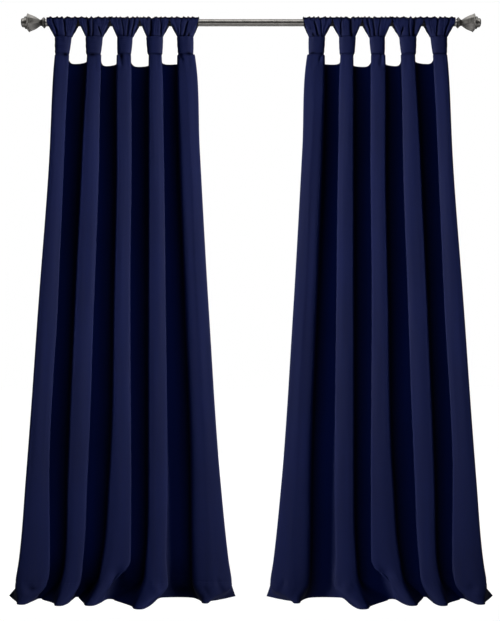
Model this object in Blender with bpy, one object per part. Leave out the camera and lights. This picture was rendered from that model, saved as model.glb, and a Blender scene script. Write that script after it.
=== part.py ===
"""A pair of knotted tab top blackout curtains on a round rod with flared finials.

Units are metres, z points up and the front of the curtains faces -y. The origin is the middle of the
rod's axis. Every length below is written for the left curtain; the right one is its mirror image.
"""
from collections import namedtuple
from math import cos, hypot, pi, radians, sin

import bmesh
import bpy
import numpy as np

MM = 0.001
GAP = 0.0003

# Rod and finials
ROD_RADIUS = 0.0127
ROD_BORE = 0.0115
ROD_HALF_LENGTH = 0.7548
ROD_SIDES = 32
FINIAL_SIDES = 24
FINIAL_TURN = radians(7.5)
BELL_FACETS = 8
PLUG_LENGTH = 0.025
PLUG_RADIUS = ROD_BORE - GAP

# Cloth
CLOTH = 0.002
TAB_CLOTH = 0.0018
HEM_Z = -2.1185

# Knots: flattened sleeves round the gathered tabs
KNOT_TOP_Z = -0.054
KNOT_MIDDLE_Z = -0.085
KNOT_BOTTOM_Z = -0.1155
KNOT_TOP_DEPTH = 0.0150
KNOT_MIDDLE_DEPTH = 0.0155
KNOT_BOTTOM_DEPTH = 0.0140
KNOT_SIDES = 20
KNOT_BULGE = 0.0008

# Tabs: strips over the rod
TAB_END_Z = -0.097
TAB_MOUTH_Z = -0.0532
TAB_FLARE_Z = -0.036
TAB_COLUMNS = 13
TAB_ARC_STEPS = 6
TAB_RADIUS = ROD_RADIUS + 0.0006 + TAB_CLOTH / 2
TAB_SPACE = 0.0010
TAB_CURL = radians(74)
TAB_CLEARANCE = 0.0007
TAB_FLARE_SHARE = 0.64
TAB_FRONT_SHARE = 0.94
TAB_WIDENING = 1.4
PUCKER_HEIGHT = 0.0030
PUCKER_STEP = 2.7
PUCKER_TURN = 1.9
FLARE_PUCKER = 0.7

# Panel mesh
PANEL_COLUMNS = 48
PANEL_ROWS = (-0.158, -0.18, -0.22, -0.28, -0.40, -0.62, -0.90,
              -1.20, -1.50, -1.75, -1.92, -2.0, -2.055, -2.092)

# Panel form: the rounding of a fold's edges as shares of its width, how far a valley's sides and a pleat's
# right side turn, the three steps round a pleat's right edge and where they fall between pleat and valley at
# the hem, how closely curves keep to their corners, and the heights round the top edge and the hem
LEFT_SHOULDER = 0.20
VALLEY_SHOULDER = 0.20
VALLEY_SIDE = 0.008
RIGHT_SHOULDER = 0.34
RIGHT_SIDE = 0.0035
EDGE_STEPS = ((-0.0020, 0.0, 0.0), (0.0003, 0.0016, 0.12), (-0.0012, 0.0055, 0.30))
CORNER_PULL = 0.5
TONGUE_TOP_Z = -0.1065
TONGUE_SIDE_Z = -0.1185
BELOW_KNOT_Z = -0.1174
TOP_ROW_STEP = 0.002
DIP_SHOULDER = 0.003
SIDE_HEM_DIP = 0.006
HEM_SHOULDER_DROP = 0.4

# Each row is a height at which the folds are given: the front of the pleats, the back of the valleys, the
# set back of a pleat's sides, the share of a fold's undercut and softness that is reached there, and how far
# a valley runs in behind the pleat on its right
Level = namedtuple("Level", "name z front back side share before_pleat")
LEVELS = (
    Level("neck", -0.1175, -0.0086, 0.030, 0.012, 0.00, -0.002),
    Level("heading", -0.1300, -0.0195, 0.040, 0.0045, 0.30, -0.004),
    Level("upper", -0.4700, -0.0460, 0.046, 0.0035, 1.00, -0.007),
    Level("middle", -1.0210, -0.0440, 0.036, 0.0035, 1.00, -0.008),
    Level("lower", -1.6743, -0.0420, 0.030, 0.0045, 1.00, -0.008),
    Level("knee", -1.9633, -0.0460, 0.026, 0.0060, 0.90, -0.008),
    Level("flare", -2.0508, -0.0530, 0.023, 0.0090, 0.60, -0.010),
    Level("hem", HEM_Z, -0.0600, 0.020, 0.024, 0.00, 0.000),
)

# Left and right edge of each pleat in millimetres from the middle of the rod, then at the hem its front and
# how far it hangs below the valleys, how much softer its left edge is than the others, and how far its
# face slopes back from left to right
Pleat = namedtuple("Pleat", "neck heading upper middle lower knee flare hem hem_front hem_drop softness turn")
PLEATS = (
    Pleat((-713, -675), (-721, -667), (-731, -679), (-772, -703),
          (-820, -735), (-844, -732), (-853, -742), (-853, -804), -54, 1.6, 1.0, 0.12),
    Pleat((-599, -559), (-600, -549), (-615, -552), (-640, -571),
          (-666, -596), (-674, -611), (-691, -622), (-716, -664), -62, 3.4, 1.0, 0.08),
    Pleat((-486, -446), (-492, -440), (-490, -435), (-498, -440),
          (-515, -437), (-540, -438), (-560, -508), (-607, -549), -62, 3.0, 1.0, 0.04),
    Pleat((-374, -332), (-374, -328), (-375, -318), (-375, -311),
          (-373, -305), (-382, -309), (-394, -302), (-430, -365), -88, 6.5, 1.0, 0.0),
    Pleat((-262, -218), (-269, -206), (-261, -186), (-241, -156),
          (-215, -112), (-212, -82), (-208, -70), (-182, -147), -42, 0.7, 2.2, 0.0),
)

# Left and right edge and depth of each valley at the hem, how far its top edge hangs down, and how far it
# runs in behind the pleat on its left
Valley = namedtuple("Valley", "hem_left hem_right hem_back top_z undercut")
VALLEYS = (
    Valley(-788, -766, 7, -139, 20),
    Valley(-652, -636, 26, -146, 17),
    Valley(-534, -500, 1, -150, 14),
    Valley(-338, -208, 22, -141, 11),
)

# The two side hems: step inwards and backwards from the pleat beside them, then their corner at the hem
Side = namedtuple("Side", "inset back corner_x corner_y corner_lift")
OUTER_SIDE = Side(0.005, 0.048, -0.899, 0.032, 0.0040)
INNER_SIDE = Side(0.005, 0.044, -0.057, 0.030, 0.0030)

# Ends of each tab on the rod and the knot below it, in millimetres
Tab = namedtuple("Tab", "rod_left rod_right top_centre top_width bottom_centre bottom_width")
TABS = (
    Tab(-750, -632, -690, 61, -694, 51),
    Tab(-632, -516, -576, 63, -579, 53),
    Tab(-516, -407, -463, 57, -466, 50),
    Tab(-407, -298, -354, 62, -353, 54),
    Tab(-298, -191, -242, 61, -240, 56),
)

# Finial rings outwards from the rod's end: distance, radius and share of the eight-sided form
Ring = namedtuple("Ring", "along radius facets")
FINIAL_RINGS = (
    Ring(-PLUG_LENGTH, PLUG_RADIUS - 0.001, 0.0),
    Ring(-PLUG_LENGTH + 0.001, PLUG_RADIUS, 0.0),
    Ring(GAP, PLUG_RADIUS, 0.0),
    Ring(GAP, 0.0150, 0.0),
    Ring(0.0060, 0.0196, 0.0),
    Ring(0.0138, 0.0124, 0.0),
    Ring(0.0176, 0.0106, 0.3),
    Ring(0.0224, 0.0127, 1.0),
    Ring(0.0290, 0.0172, 1.0),
    Ring(0.0356, 0.0213, 1.0),
    Ring(0.0485, 0.0270, 1.0),
    Ring(0.0590, 0.0306, 1.0),
    Ring(0.0630, 0.0330, 1.0),
    Ring(0.0662, 0.0326, 1.0),
    Ring(0.0676, 0.0245, 0.5),
    Ring(0.0680, 0.0221, 0.0),
    Ring(0.0755, 0.0221, 0.0),
    Ring(0.0763, 0.0164, 0.0),
    Ring(0.0855, 0.0158, 0.0),
    Ring(0.0886, 0.0114, 0.0),
)

NAVY = (0.0140, 0.0140, 0.0550)
PEWTER = (0.230, 0.220, 0.205)


def clear_scene():
    """Remove what the scene holds at the start."""
    for item in list(bpy.data.objects):
        bpy.data.objects.remove(item, do_unlink=True)


def make_material(name, colour, roughness, metallic):
    """Give a plain surface its colour and finish."""
    material = bpy.data.materials.new(name)
    material.use_nodes = True
    shader = material.node_tree.nodes["Principled BSDF"]
    shader.inputs["Base Color"].default_value = (*colour, 1.0)
    shader.inputs["Roughness"].default_value = roughness
    shader.inputs["Metallic"].default_value = metallic
    return material


def make_object(name, points, faces, colour, roughness, metallic):
    """Turn points and faces into a closed object whose faces look outwards."""
    mesh = bpy.data.meshes.new(name)
    mesh.from_pydata([tuple(point) for point in points], [], faces)
    work = bmesh.new()
    work.from_mesh(mesh)
    bmesh.ops.recalc_face_normals(work, faces=work.faces[:])
    work.to_mesh(mesh)
    work.free()
    mesh.shade_smooth()
    mesh.set_sharp_from_angle(angle=radians(40))
    mesh.materials.append(make_material(name, colour, roughness, metallic))
    item = bpy.data.objects.new(name, mesh)
    bpy.context.scene.collection.objects.link(item)
    return item


def smooth_path(knots, values, places):
    """Follow rows of values through their knots without overshoot, at the given places."""
    knots = np.asarray(knots, float)
    values = np.asarray(values, float)
    step = np.diff(knots)[:, None]
    slope = np.diff(values, axis=0) / step
    mean = (step[1:] * slope[:-1] + step[:-1] * slope[1:]) / (step[1:] + step[:-1])
    limit = 3 * np.minimum(np.abs(slope[1:]), np.abs(slope[:-1])) * (slope[1:] * slope[:-1] > 0)
    tangent = np.vstack([slope[:1], np.clip(mean, -limit, limit), slope[-1:]])
    places = np.clip(np.asarray(places, float), knots[0], knots[-1])
    span = np.clip(np.searchsorted(knots, places, side="right") - 1, 0, len(knots) - 2)
    width = step[span]
    t = ((places - knots[span]) / width[:, 0])[:, None]
    return ((1 + 2 * t) * (1 - t) ** 2 * values[span] + t * (1 - t) ** 2 * width * tangent[span]
            + t * t * (3 - 2 * t) * values[span + 1] + t * t * (t - 1) * width * tangent[span + 1])


def soft_curve(controls, count, pull=0.0):
    """Sample a rounded curve through its controls, the same number of samples in each span.

    pull is the power of a span's length that sets its weight: 0 weighs all spans alike.
    """
    controls = np.asarray(controls, float)
    place = np.linspace(0, len(controls) - 1, count)
    span = np.minimum(place.astype(int), len(controls) - 2)
    t = (place - span)[:, None]
    padded = np.vstack([2 * controls[:1] - controls[1:2], controls, 2 * controls[-1:] - controls[-2:-1]])
    weight = np.maximum(np.linalg.norm(np.diff(padded, axis=0), axis=1), 1e-9)[:, None] ** pull
    slope = np.diff(padded, axis=0) / weight
    tangent = (weight[1:] * slope[:-1] + weight[:-1] * slope[1:]) / (weight[1:] + weight[:-1])
    width = weight[1:-1][span]
    start, end = controls[span], controls[span + 1]
    curve = (1 + 2 * t) * (1 - t) ** 2 * start + t * t * (3 - 2 * t) * end
    return curve + width * (t * (1 - t) ** 2 * tangent[span] + t * t * (t - 1) * tangent[span + 1])


def fold_controls(level):
    """List the plan points of the folds at one level, from the outer side hem to the inner one."""
    at_hem = level.name == "hem"
    edges = [(left * MM, right * MM) for left, right in (getattr(pleat, level.name) for pleat in PLEATS)]
    points = []
    for number, (left, right) in enumerate(edges):
        pleat = PLEATS[number]
        front = pleat.hem_front * MM if at_hem else level.front
        width = right - left
        soft = 1 + (pleat.softness - 1) * level.share
        slope = pleat.turn * level.share * width
        right_side = level.side + level.share * (RIGHT_SIDE - level.side) + slope / 2
        points.append((left, front + level.side * soft - slope / 2))
        points.append((left + LEFT_SHOULDER * width * soft, front - slope * (0.5 - LEFT_SHOULDER * soft)))
        points.append((right - RIGHT_SHOULDER * width, front + slope * (0.5 - RIGHT_SHOULDER)))
        if number == len(VALLEYS):
            valley_points = []
            start = (right - INNER_SIDE.inset, front + right_side + INNER_SIDE.back)
            if at_hem:
                start = (INNER_SIDE.corner_x, INNER_SIDE.corner_y)
        else:
            valley = VALLEYS[number]
            start_x = valley.hem_left * MM if at_hem else right - level.share * valley.undercut * MM
            end_x = valley.hem_right * MM if at_hem else edges[number + 1][0] + level.before_pleat
            back = valley.hem_back * MM if at_hem else level.back
            shoulder = VALLEY_SHOULDER * (end_x - start_x)
            start = (start_x, back - VALLEY_SIDE)
            valley_points = [(start_x + shoulder, back), (end_x - shoulder, back), (end_x, back - VALLEY_SIDE)]
        for step_x, step_y, way in EDGE_STEPS:
            along = [way * (start[0] - right), way * (start[1] - front - right_side)]
            x = right + level.share * step_x + (1 - level.share) * along[0]
            y = front + right_side + level.share * step_y + (1 - level.share) * along[1]
            points.append((x, y))
        points += [start] + valley_points
    first = points[0]
    outer = (first[0] + OUTER_SIDE.inset, first[1] + OUTER_SIDE.back)
    if at_hem:
        outer = (OUTER_SIDE.corner_x, OUTER_SIDE.corner_y)
    return [outer] + points


def top_edge_controls():
    """Give the height of the panel's top edge at each plan point: tongues into the knots, dips between."""
    heights = []
    for number in range(len(PLEATS)):
        heights += [TONGUE_SIDE_Z, TONGUE_TOP_Z, TONGUE_TOP_Z] + [TONGUE_SIDE_Z] * len(EDGE_STEPS)
        if number < len(VALLEYS):
            dip = VALLEYS[number].top_z * MM
            heights += [dip + DIP_SHOULDER, dip, dip, dip + DIP_SHOULDER]
    ends = TONGUE_SIDE_Z - SIDE_HEM_DIP
    return [(height,) for height in [ends] + heights + [ends]]


def hem_controls():
    """Give the height of the hem at each plan point: pleats hang lower and the two corners are lifted."""
    heights = [OUTER_SIDE.corner_lift]
    for number, pleat in enumerate(PLEATS):
        drop = -pleat.hem_drop * MM
        shoulder = drop * HEM_SHOULDER_DROP
        heights += [shoulder, drop, drop] + [shoulder * (1 - step[2]) for step in EDGE_STEPS]
        if number < len(VALLEYS):
            heights += [0.0] * 4
    heights.append(INNER_SIDE.corner_lift)
    return [(HEM_Z + height,) for height in heights]


def panel_points():
    """Lay out the middle surface of the left panel as rows of points from its top edge to its hem."""
    plan = [soft_curve(fold_controls(level), PANEL_COLUMNS, CORNER_PULL) for level in LEVELS]
    depth = [-level.z for level in LEVELS]
    top = soft_curve(top_edge_controls(), PANEL_COLUMNS)[:, 0]
    neck = np.minimum(top - TOP_ROW_STEP, BELOW_KNOT_Z)
    hem = soft_curve(hem_controls(), PANEL_COLUMNS)[:, 0]
    rows = [top, neck] + [np.full(PANEL_COLUMNS, z) for z in PANEL_ROWS] + [hem]
    grid = np.empty((len(rows), PANEL_COLUMNS, 3))
    for column in range(PANEL_COLUMNS):
        drop = np.array([row[column] for row in rows])
        track = np.array([section[column] for section in plan])
        grid[:, column, :2] = smooth_path(depth, track, -drop)
        grid[:, column, 2] = drop
    return grid


def thicken(grid, thickness):
    """Close a sheet given as a grid of points into a solid of even thickness."""
    down = np.gradient(grid, axis=0)
    across = np.gradient(grid, axis=1)
    normal = np.cross(down, across)
    normal /= np.linalg.norm(normal, axis=2, keepdims=True)
    front = grid + normal * thickness / 2
    back = grid - normal * thickness / 2
    rows, columns = grid.shape[:2]
    size = rows * columns
    points = np.vstack([front.reshape(-1, 3), back.reshape(-1, 3)])
    faces = []
    for i in range(rows - 1):
        for j in range(columns - 1):
            a = i * columns + j
            b = a + 1
            c = a + columns
            faces.append((a, c, c + 1, b))
            faces.append((size + a, size + b, size + c + 1, size + c))
    rim = list(range(columns))
    rim += [i * columns + columns - 1 for i in range(1, rows)]
    rim += [(rows - 1) * columns + j for j in range(columns - 2, -1, -1)]
    rim += [i * columns for i in range(rows - 2, 0, -1)]
    for a, b in zip(rim, rim[1:] + rim[:1]):
        faces.append((a, b, size + b, size + a))
    return points, faces


def knot_section(tab, z):
    """Give the centre, half width and half depth of a knot's outer face at a height."""
    heights = (KNOT_BOTTOM_Z, KNOT_MIDDLE_Z, KNOT_TOP_Z)
    middle_centre = (tab.top_centre + tab.bottom_centre) / 2
    middle_width = (tab.top_width + tab.bottom_width) / 2
    centre = np.interp(z, heights, (tab.bottom_centre, middle_centre, tab.top_centre)) * MM
    half = np.interp(z, heights, (tab.bottom_width, middle_width, tab.top_width)) * MM / 2
    half += KNOT_BULGE * (1 - abs(2 * (z - KNOT_BOTTOM_Z) / (KNOT_TOP_Z - KNOT_BOTTOM_Z) - 1))
    depth = np.interp(z, heights, (KNOT_BOTTOM_DEPTH, KNOT_MIDDLE_DEPTH, KNOT_TOP_DEPTH))
    return centre, half, depth


def knot_solid(tab, mirror):
    """Build a knot: a flattened sleeve of cloth, open at its top and its bottom."""
    points = []
    for inset in (0.0, CLOTH):
        for z in (KNOT_BOTTOM_Z, KNOT_MIDDLE_Z, KNOT_TOP_Z):
            centre, half, depth = knot_section(tab, z)
            for k in range(KNOT_SIDES):
                angle = 2 * pi * k / KNOT_SIDES
                x = centre + (half - inset) * cos(angle)
                points.append((mirror * x, (depth - inset) * sin(angle), z))
    faces = []
    for k in range(KNOT_SIDES):
        n = (k + 1) % KNOT_SIDES
        for ring in (0, 1, 3, 4):
            a = ring * KNOT_SIDES
            faces.append((a + k, a + n, a + KNOT_SIDES + n, a + KNOT_SIDES + k))
        inner = 3 * KNOT_SIDES
        top = 2 * KNOT_SIDES
        faces.append((k, n, inner + n, inner + k))
        faces.append((top + k, top + n, inner + top + n, inner + top + k))
    return points, faces


def tab_row(tab, z, y, share, curl, pucker, number):
    """Lay one row of a tab across: straight on the rod, curled into a shell inside the knot."""
    centre, half, depth = knot_section(tab, z)
    rod_centre = (tab.rod_left + tab.rod_right) / 2 * MM
    rod_half = (tab.rod_right - tab.rod_left) / 2 * MM - TAB_SPACE
    knot_half = half - CLOTH - TAB_CLEARANCE - TAB_CLOTH / 2
    knot_depth = depth - CLOTH - TAB_CLEARANCE - TAB_CLOTH / 2
    side = -1 if y < 0 else 1
    row = []
    for k in range(TAB_COLUMNS):
        s = 2 * k / (TAB_COLUMNS - 1) - 1
        angle = s * TAB_CURL
        wave = sin(PUCKER_STEP * k + PUCKER_TURN * number)
        ruffle = PUCKER_HEIGHT * pucker * (1 + wave) / 2
        flat_x = rod_centre + s * rod_half * share
        knot_x = centre + knot_half * sin(angle)
        shell_y = side * knot_depth * cos(angle)
        flat_y, flat_z = y, z
        height = max(z, 0.0)
        reach = hypot(y, height)
        flat_y += ruffle * y / reach
        flat_z += ruffle * height / reach
        row.append((curl * knot_x + (1 - curl) * flat_x, curl * shell_y + (1 - curl) * flat_y, flat_z))
    return row


def tab_points(tab, number):
    """Lay out the middle surface of a tab from its front end over the rod to its back end."""
    front = [
        tab_row(tab, TAB_END_Z, -1.0, 1.0, 1.0, 0.0, number),
        tab_row(tab, TAB_MOUTH_Z, -1.0, 1.0, 1.0, 0.0, number),
        tab_row(tab, TAB_FLARE_Z, -TAB_RADIUS, TAB_FLARE_SHARE, 0.0, FLARE_PUCKER, number),
    ]
    arc = []
    for k in range(TAB_ARC_STEPS + 1):
        angle = pi * k / TAB_ARC_STEPS
        share = TAB_FRONT_SHARE + (1 - TAB_FRONT_SHARE) * min(1.0, sin(angle) * TAB_WIDENING)
        arc.append(tab_row(tab, TAB_RADIUS * sin(angle), -TAB_RADIUS * cos(angle), share, 0.0, 1.0, number))
    back = [
        tab_row(tab, TAB_FLARE_Z, TAB_RADIUS, TAB_FLARE_SHARE, 0.0, FLARE_PUCKER, number),
        tab_row(tab, TAB_MOUTH_Z, 1.0, 1.0, 1.0, 0.0, number),
        tab_row(tab, TAB_END_Z, 1.0, 1.0, 1.0, 0.0, number),
    ]
    return np.array(front + arc + back)


def ring_radius(ring, angle):
    """Give a finial ring's radius at an angle: round, or eight-sided with a flat facing each quarter."""
    facet = 2 * pi / BELL_FACETS
    from_flat = (angle + facet / 2) % facet - facet / 2
    eight_sided = cos(facet / 2) / cos(from_flat)
    return ring.radius * (1 - ring.facets + ring.facets * eight_sided)


def finial_solid(mirror):
    """Build one finial: plug, bead, neck, eight-sided bell, flange and end button in one piece."""
    points = []
    for ring in FINIAL_RINGS:
        x = -(ROD_HALF_LENGTH + ring.along) * mirror
        for k in range(FINIAL_SIDES):
            angle = 2 * pi * k / FINIAL_SIDES + FINIAL_TURN
            radius = ring_radius(ring, angle)
            points.append((x, radius * cos(angle), radius * sin(angle)))
    faces = []
    for r in range(len(FINIAL_RINGS) - 1):
        for k in range(FINIAL_SIDES):
            n = (k + 1) % FINIAL_SIDES
            a = r * FINIAL_SIDES
            faces.append((a + k, a + n, a + FINIAL_SIDES + n, a + FINIAL_SIDES + k))
    faces.append(tuple(range(FINIAL_SIDES)))
    last = (len(FINIAL_RINGS) - 1) * FINIAL_SIDES
    faces.append(tuple(last + k for k in range(FINIAL_SIDES)))
    return points, faces


def pole_solid():
    """Build the rod as a round tube open at both ends."""
    points = []
    for radius in (ROD_RADIUS, ROD_BORE):
        for x in (-ROD_HALF_LENGTH, ROD_HALF_LENGTH):
            for k in range(ROD_SIDES):
                angle = 2 * pi * k / ROD_SIDES
                points.append((x, radius * cos(angle), radius * sin(angle)))
    faces = []
    for k in range(ROD_SIDES):
        n = (k + 1) % ROD_SIDES
        for start, end in ((0, 1), (2, 3), (0, 2), (1, 3)):
            a, b = start * ROD_SIDES, end * ROD_SIDES
            faces.append((a + k, a + n, b + n, b + k))
    return points, faces


def build():
    """Build every piece of the pair and its rod."""
    clear_scene()
    make_object("pole", *pole_solid(), PEWTER, 0.32, 1.0)
    panel = panel_points()
    for side, mirror in (("left", 1), ("right", -1)):
        turn = np.array((mirror, 1, 1))
        make_object(f"finial_{side}", *finial_solid(mirror), PEWTER, 0.32, 1.0)
        make_object(f"panel_{side}", *thicken(panel * turn, CLOTH), NAVY, 0.85, 0.0)
        for number, tab in enumerate(TABS, start=1):
            strip = tab_points(tab, number) * turn
            make_object(f"tab_{side}_{number}", *thicken(strip, TAB_CLOTH), NAVY, 0.85, 0.0)
            make_object(f"knot_{side}_{number}", *knot_solid(tab, mirror), NAVY, 0.85, 0.0)


build()
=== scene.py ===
"""Dressed model of a pair of knotted tab top blackout curtains on a round rod.

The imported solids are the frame. Every cloth is built again here on the solids' own folds, finer and with
its creases, hems and stitches, and the finials get their full outline. Units are metres, +Z is up, the
front faces -Y and the origin is the middle of the rod's axis. Lengths are written for the left curtain;
the right one is its mirror image.
"""
from __future__ import annotations

import logging
import math
from dataclasses import dataclass, field
from enum import Enum

import bpy
import numpy as np
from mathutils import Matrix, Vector

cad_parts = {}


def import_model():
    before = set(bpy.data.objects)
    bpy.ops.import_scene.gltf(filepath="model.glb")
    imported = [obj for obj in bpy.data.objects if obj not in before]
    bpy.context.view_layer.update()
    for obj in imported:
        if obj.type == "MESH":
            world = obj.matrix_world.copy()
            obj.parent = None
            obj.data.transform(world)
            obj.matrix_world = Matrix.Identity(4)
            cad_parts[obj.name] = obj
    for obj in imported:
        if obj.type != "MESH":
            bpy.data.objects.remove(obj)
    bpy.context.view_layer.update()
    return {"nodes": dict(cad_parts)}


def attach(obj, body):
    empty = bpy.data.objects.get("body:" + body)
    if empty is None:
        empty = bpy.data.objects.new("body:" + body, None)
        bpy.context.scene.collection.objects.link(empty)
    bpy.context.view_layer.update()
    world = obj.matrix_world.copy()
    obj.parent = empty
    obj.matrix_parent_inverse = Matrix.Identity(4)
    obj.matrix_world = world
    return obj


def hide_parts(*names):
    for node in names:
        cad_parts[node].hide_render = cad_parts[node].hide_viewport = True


LOG = logging.getLogger("curtains")
Array = np.ndarray
Colour = tuple[float, float, float]
Profile = tuple[tuple[float, float], ...]
Collection = bpy.types.Collection
Material = bpy.types.Material
Node = bpy.types.Node
Piece = bpy.types.Object
Socket = bpy.types.NodeSocket
Tree = bpy.types.NodeTree
Number = bpy.types.NodeSocket | float
Points = list[tuple[float, float]]
Span = tuple[float, float]
MM = 0.001
BODY = "root"


class Side(Enum):
    """Which of the two mirrored curtains a piece belongs to."""

    LEFT = 1
    RIGHT = -1

    @property
    def label(self) -> str:
        """Name used in node names."""
        return self.name.lower()


@dataclass(frozen=True)
class Shade:
    """A hollow that keeps the light out, seen from the front in millimetres.

    The amount is the share of light lost. It works on cloth that lies further back than `behind`.
    """

    x: float
    z: float
    half_width: float
    half_height: float
    amount: float
    behind: float = -200
    blend: float = 8


# Curves and fields


def soft_curve(controls: Array, count: int, pull: float = 0.0) -> Array:
    """Sample a rounded curve that passes through its controls.

    Args:
        controls: Rows of control values.
        count: How many samples to take from the first control to the last, the same number in each span.
        pull: Power of a span's length that sets its weight; 0 weighs all alike, 0.5 keeps corners tight.

    Returns:
        One row of values for each sample.
    """
    controls = np.asarray(controls, float)
    place = np.linspace(0, len(controls) - 1, count)
    span = np.minimum(place.astype(int), len(controls) - 2)
    t = (place - span)[:, None]
    padded = np.vstack([2 * controls[:1] - controls[1:2], controls, 2 * controls[-1:] - controls[-2:-1]])
    weight = np.maximum(np.linalg.norm(np.diff(padded, axis=0), axis=1), 1e-9)[:, None] ** pull
    slope = np.diff(padded, axis=0) / weight
    tangent = (weight[1:] * slope[:-1] + weight[:-1] * slope[1:]) / (weight[1:] + weight[:-1])
    width = weight[1:-1][span]
    start, end = controls[span], controls[span + 1]
    curve = (1 + 2 * t) * (1 - t) ** 2 * start + t * t * (3 - 2 * t) * end
    return curve + width * (t * (1 - t) ** 2 * tangent[span] + t * t * (t - 1) * tangent[span + 1])


def follow_levels(knots: Array, values: Array, places: Array) -> Array:
    """Follow columns of values down through their levels without overshoot.

    Args:
        knots: Depth of each level, rising.
        values: Array of level, column and coordinate.
        places: Array of row and column: the depths that are wanted.

    Returns:
        Array of row, column and coordinate.
    """
    step = np.diff(knots)[:, None, None]
    slope = np.diff(values, axis=0) / step
    mean = (step[1:] * slope[:-1] + step[:-1] * slope[1:]) / (step[1:] + step[:-1])
    limit = 3 * np.minimum(np.abs(slope[1:]), np.abs(slope[:-1])) * (slope[1:] * slope[:-1] > 0)
    tangent = np.concatenate([slope[:1], np.clip(mean, -limit, limit), slope[-1:]])
    places = np.clip(places, knots[0], knots[-1])
    span = np.clip(np.searchsorted(knots, places, side="right") - 1, 0, len(knots) - 2)
    column = np.arange(values.shape[1])[None, :]
    width = (knots[span + 1] - knots[span])[..., None]
    t = ((places - knots[span]) / width[..., 0])[..., None]
    curve = (1 + 2 * t) * (1 - t) ** 2 * values[span, column]
    curve += t * t * (3 - 2 * t) * values[span + 1, column]
    bend = t * (1 - t) ** 2 * tangent[span, column] + t * t * (t - 1) * tangent[span + 1, column]
    return curve + width * bend


def ease(value: Array, low: float, high: float) -> Array:
    """Rise smoothly from 0 at low to 1 at high."""
    t = np.clip((np.asarray(value, float) - low) / (high - low), 0.0, 1.0)
    return t * t * (3 - 2 * t)


def read_profile(profile: Profile, z: Array) -> Array:
    """Read a profile of rising heights and values at given heights."""
    heights, values = np.array(profile).T
    return np.interp(z, heights, values)


def bell(gap: Array, width: float) -> Array:
    """Fall off on both sides of a line like a bell: 1 on it, and about a third one width away."""
    return np.exp(-((gap / width) ** 2))


def grid_normals(grid: Array) -> Array:
    """Unit normals of a grid of points, pointing to the front for the left curtain."""
    normal = np.cross(np.gradient(grid, axis=1), np.gradient(grid, axis=0))
    return -normal / np.maximum(np.linalg.norm(normal, axis=2, keepdims=True), 1e-12)


def shaded(grid: Array, shades: tuple[Shade, ...]) -> Array:
    """Share of light left on a sheet by its hollows.

    Args:
        grid: Points of the sheet.
        shades: The hollows.

    Returns:
        A share from 0 to 1 for each point.
    """
    left = np.ones(grid.shape[:2])
    for shade in shades:
        gap_x = (grid[..., 0] - shade.x * MM) / (shade.half_width * MM)
        gap_z = (grid[..., 2] - shade.z * MM) / (shade.half_height * MM)
        inside = ease(grid[..., 1], (shade.behind - shade.blend) * MM, (shade.behind + shade.blend) * MM)
        left *= 1 - shade.amount * inside * np.exp(-(gap_x**2) - gap_z**2)
    return left


def band_noise(across: Array, along: Array, waves: tuple[tuple[float, float, float, float], ...]) -> Array:
    """Sum a few wandering waves.

    Args:
        across: Distance across the cloth in metres.
        along: Distance down the cloth in metres.
        waves: Rows of wavelength, height, wander wavelength and phase.

    Returns:
        The summed height at each point.
    """
    total = np.zeros(np.broadcast(across, along).shape)
    for length, height, wander, phase in waves:
        drift = 1.4 * np.sin(2 * np.pi * along / wander + 2.3 * phase)
        fade = 0.6 + 0.4 * np.sin(2 * np.pi * along / (1.7 * wander) + phase)
        total += height * fade * np.sin(2 * np.pi * across / length + drift + phase)
    return total


# Meshes


def grid_quads(rows: int, columns: int, wrap_rows: bool = False, wrap_columns: bool = False) -> Array:
    """List the quads of a grid whose rows or columns may close on themselves.

    Args:
        rows: Number of rows.
        columns: Number of columns.
        wrap_rows: Whether the last row joins the first.
        wrap_columns: Whether the last column joins the first.

    Returns:
        Four corner numbers for each quad.
    """
    i = np.arange(rows if wrap_rows else rows - 1)[:, None]
    j = np.arange(columns if wrap_columns else columns - 1)[None, :]
    below, right = (i + 1) % rows, (j + 1) % columns
    corners = (i * columns + j, below * columns + j, below * columns + right, i * columns + right)
    return np.stack(corners, axis=-1).reshape(-1, 4)


def signed_volume(points: Array, quads: Array) -> float:
    """Volume enclosed by quads, negative when they face inwards.

    Args:
        points: Rows of x, y and z.
        quads: Rows of four corner numbers.

    Returns:
        The volume.
    """
    a, b, c, d = (points[quads[:, k]] for k in range(4))
    first = np.einsum("ij,ij->i", a, np.cross(b, c))
    second = np.einsum("ij,ij->i", a, np.cross(c, d))
    return float((first + second).sum() / 6)


def add_piece(
    name: str,
    points: Array,
    quads: Array,
    material: Material,
    uv: Array | None = None,
    mask: Array | None = None,
    sharp: float = 50.0,
) -> Piece:
    """Make a closed piece whose faces look outwards and let it ride on the frame.

    Args:
        name: Piece name.
        points: Rows of x, y and z.
        quads: Rows of four corner numbers.
        material: Finish of the whole piece.
        uv: Flat position of each point in metres.
        mask: Share of light left at each point, stored as the attribute "mask"; all of it by default.
        sharp: Angle in degrees from which an edge stays hard.

    Returns:
        The new object.
    """
    if signed_volume(points, quads) < 0:
        quads = quads[:, ::-1]
    mesh = bpy.data.meshes.new(name)
    mesh.from_pydata(points.tolist(), [], quads.tolist())
    mesh.shade_smooth()
    mesh.set_sharp_from_angle(angle=math.radians(sharp))
    if uv is not None:
        layer = mesh.uv_layers.new(name="flat")
        corner = np.empty(len(mesh.loops), np.int32)
        mesh.loops.foreach_get("vertex_index", corner)
        layer.data.foreach_set("uv", uv[corner].astype(np.float32).ravel())
    layer = mesh.attributes.new("mask", "FLOAT", "POINT")
    shares = np.ones(len(points)) if mask is None else mask
    layer.data.foreach_set("value", shares.astype(np.float32))
    mesh.materials.append(material)
    item = bpy.data.objects.new(name, mesh)
    bpy.context.scene.collection.objects.link(item)
    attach(item, BODY)
    return item


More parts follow.
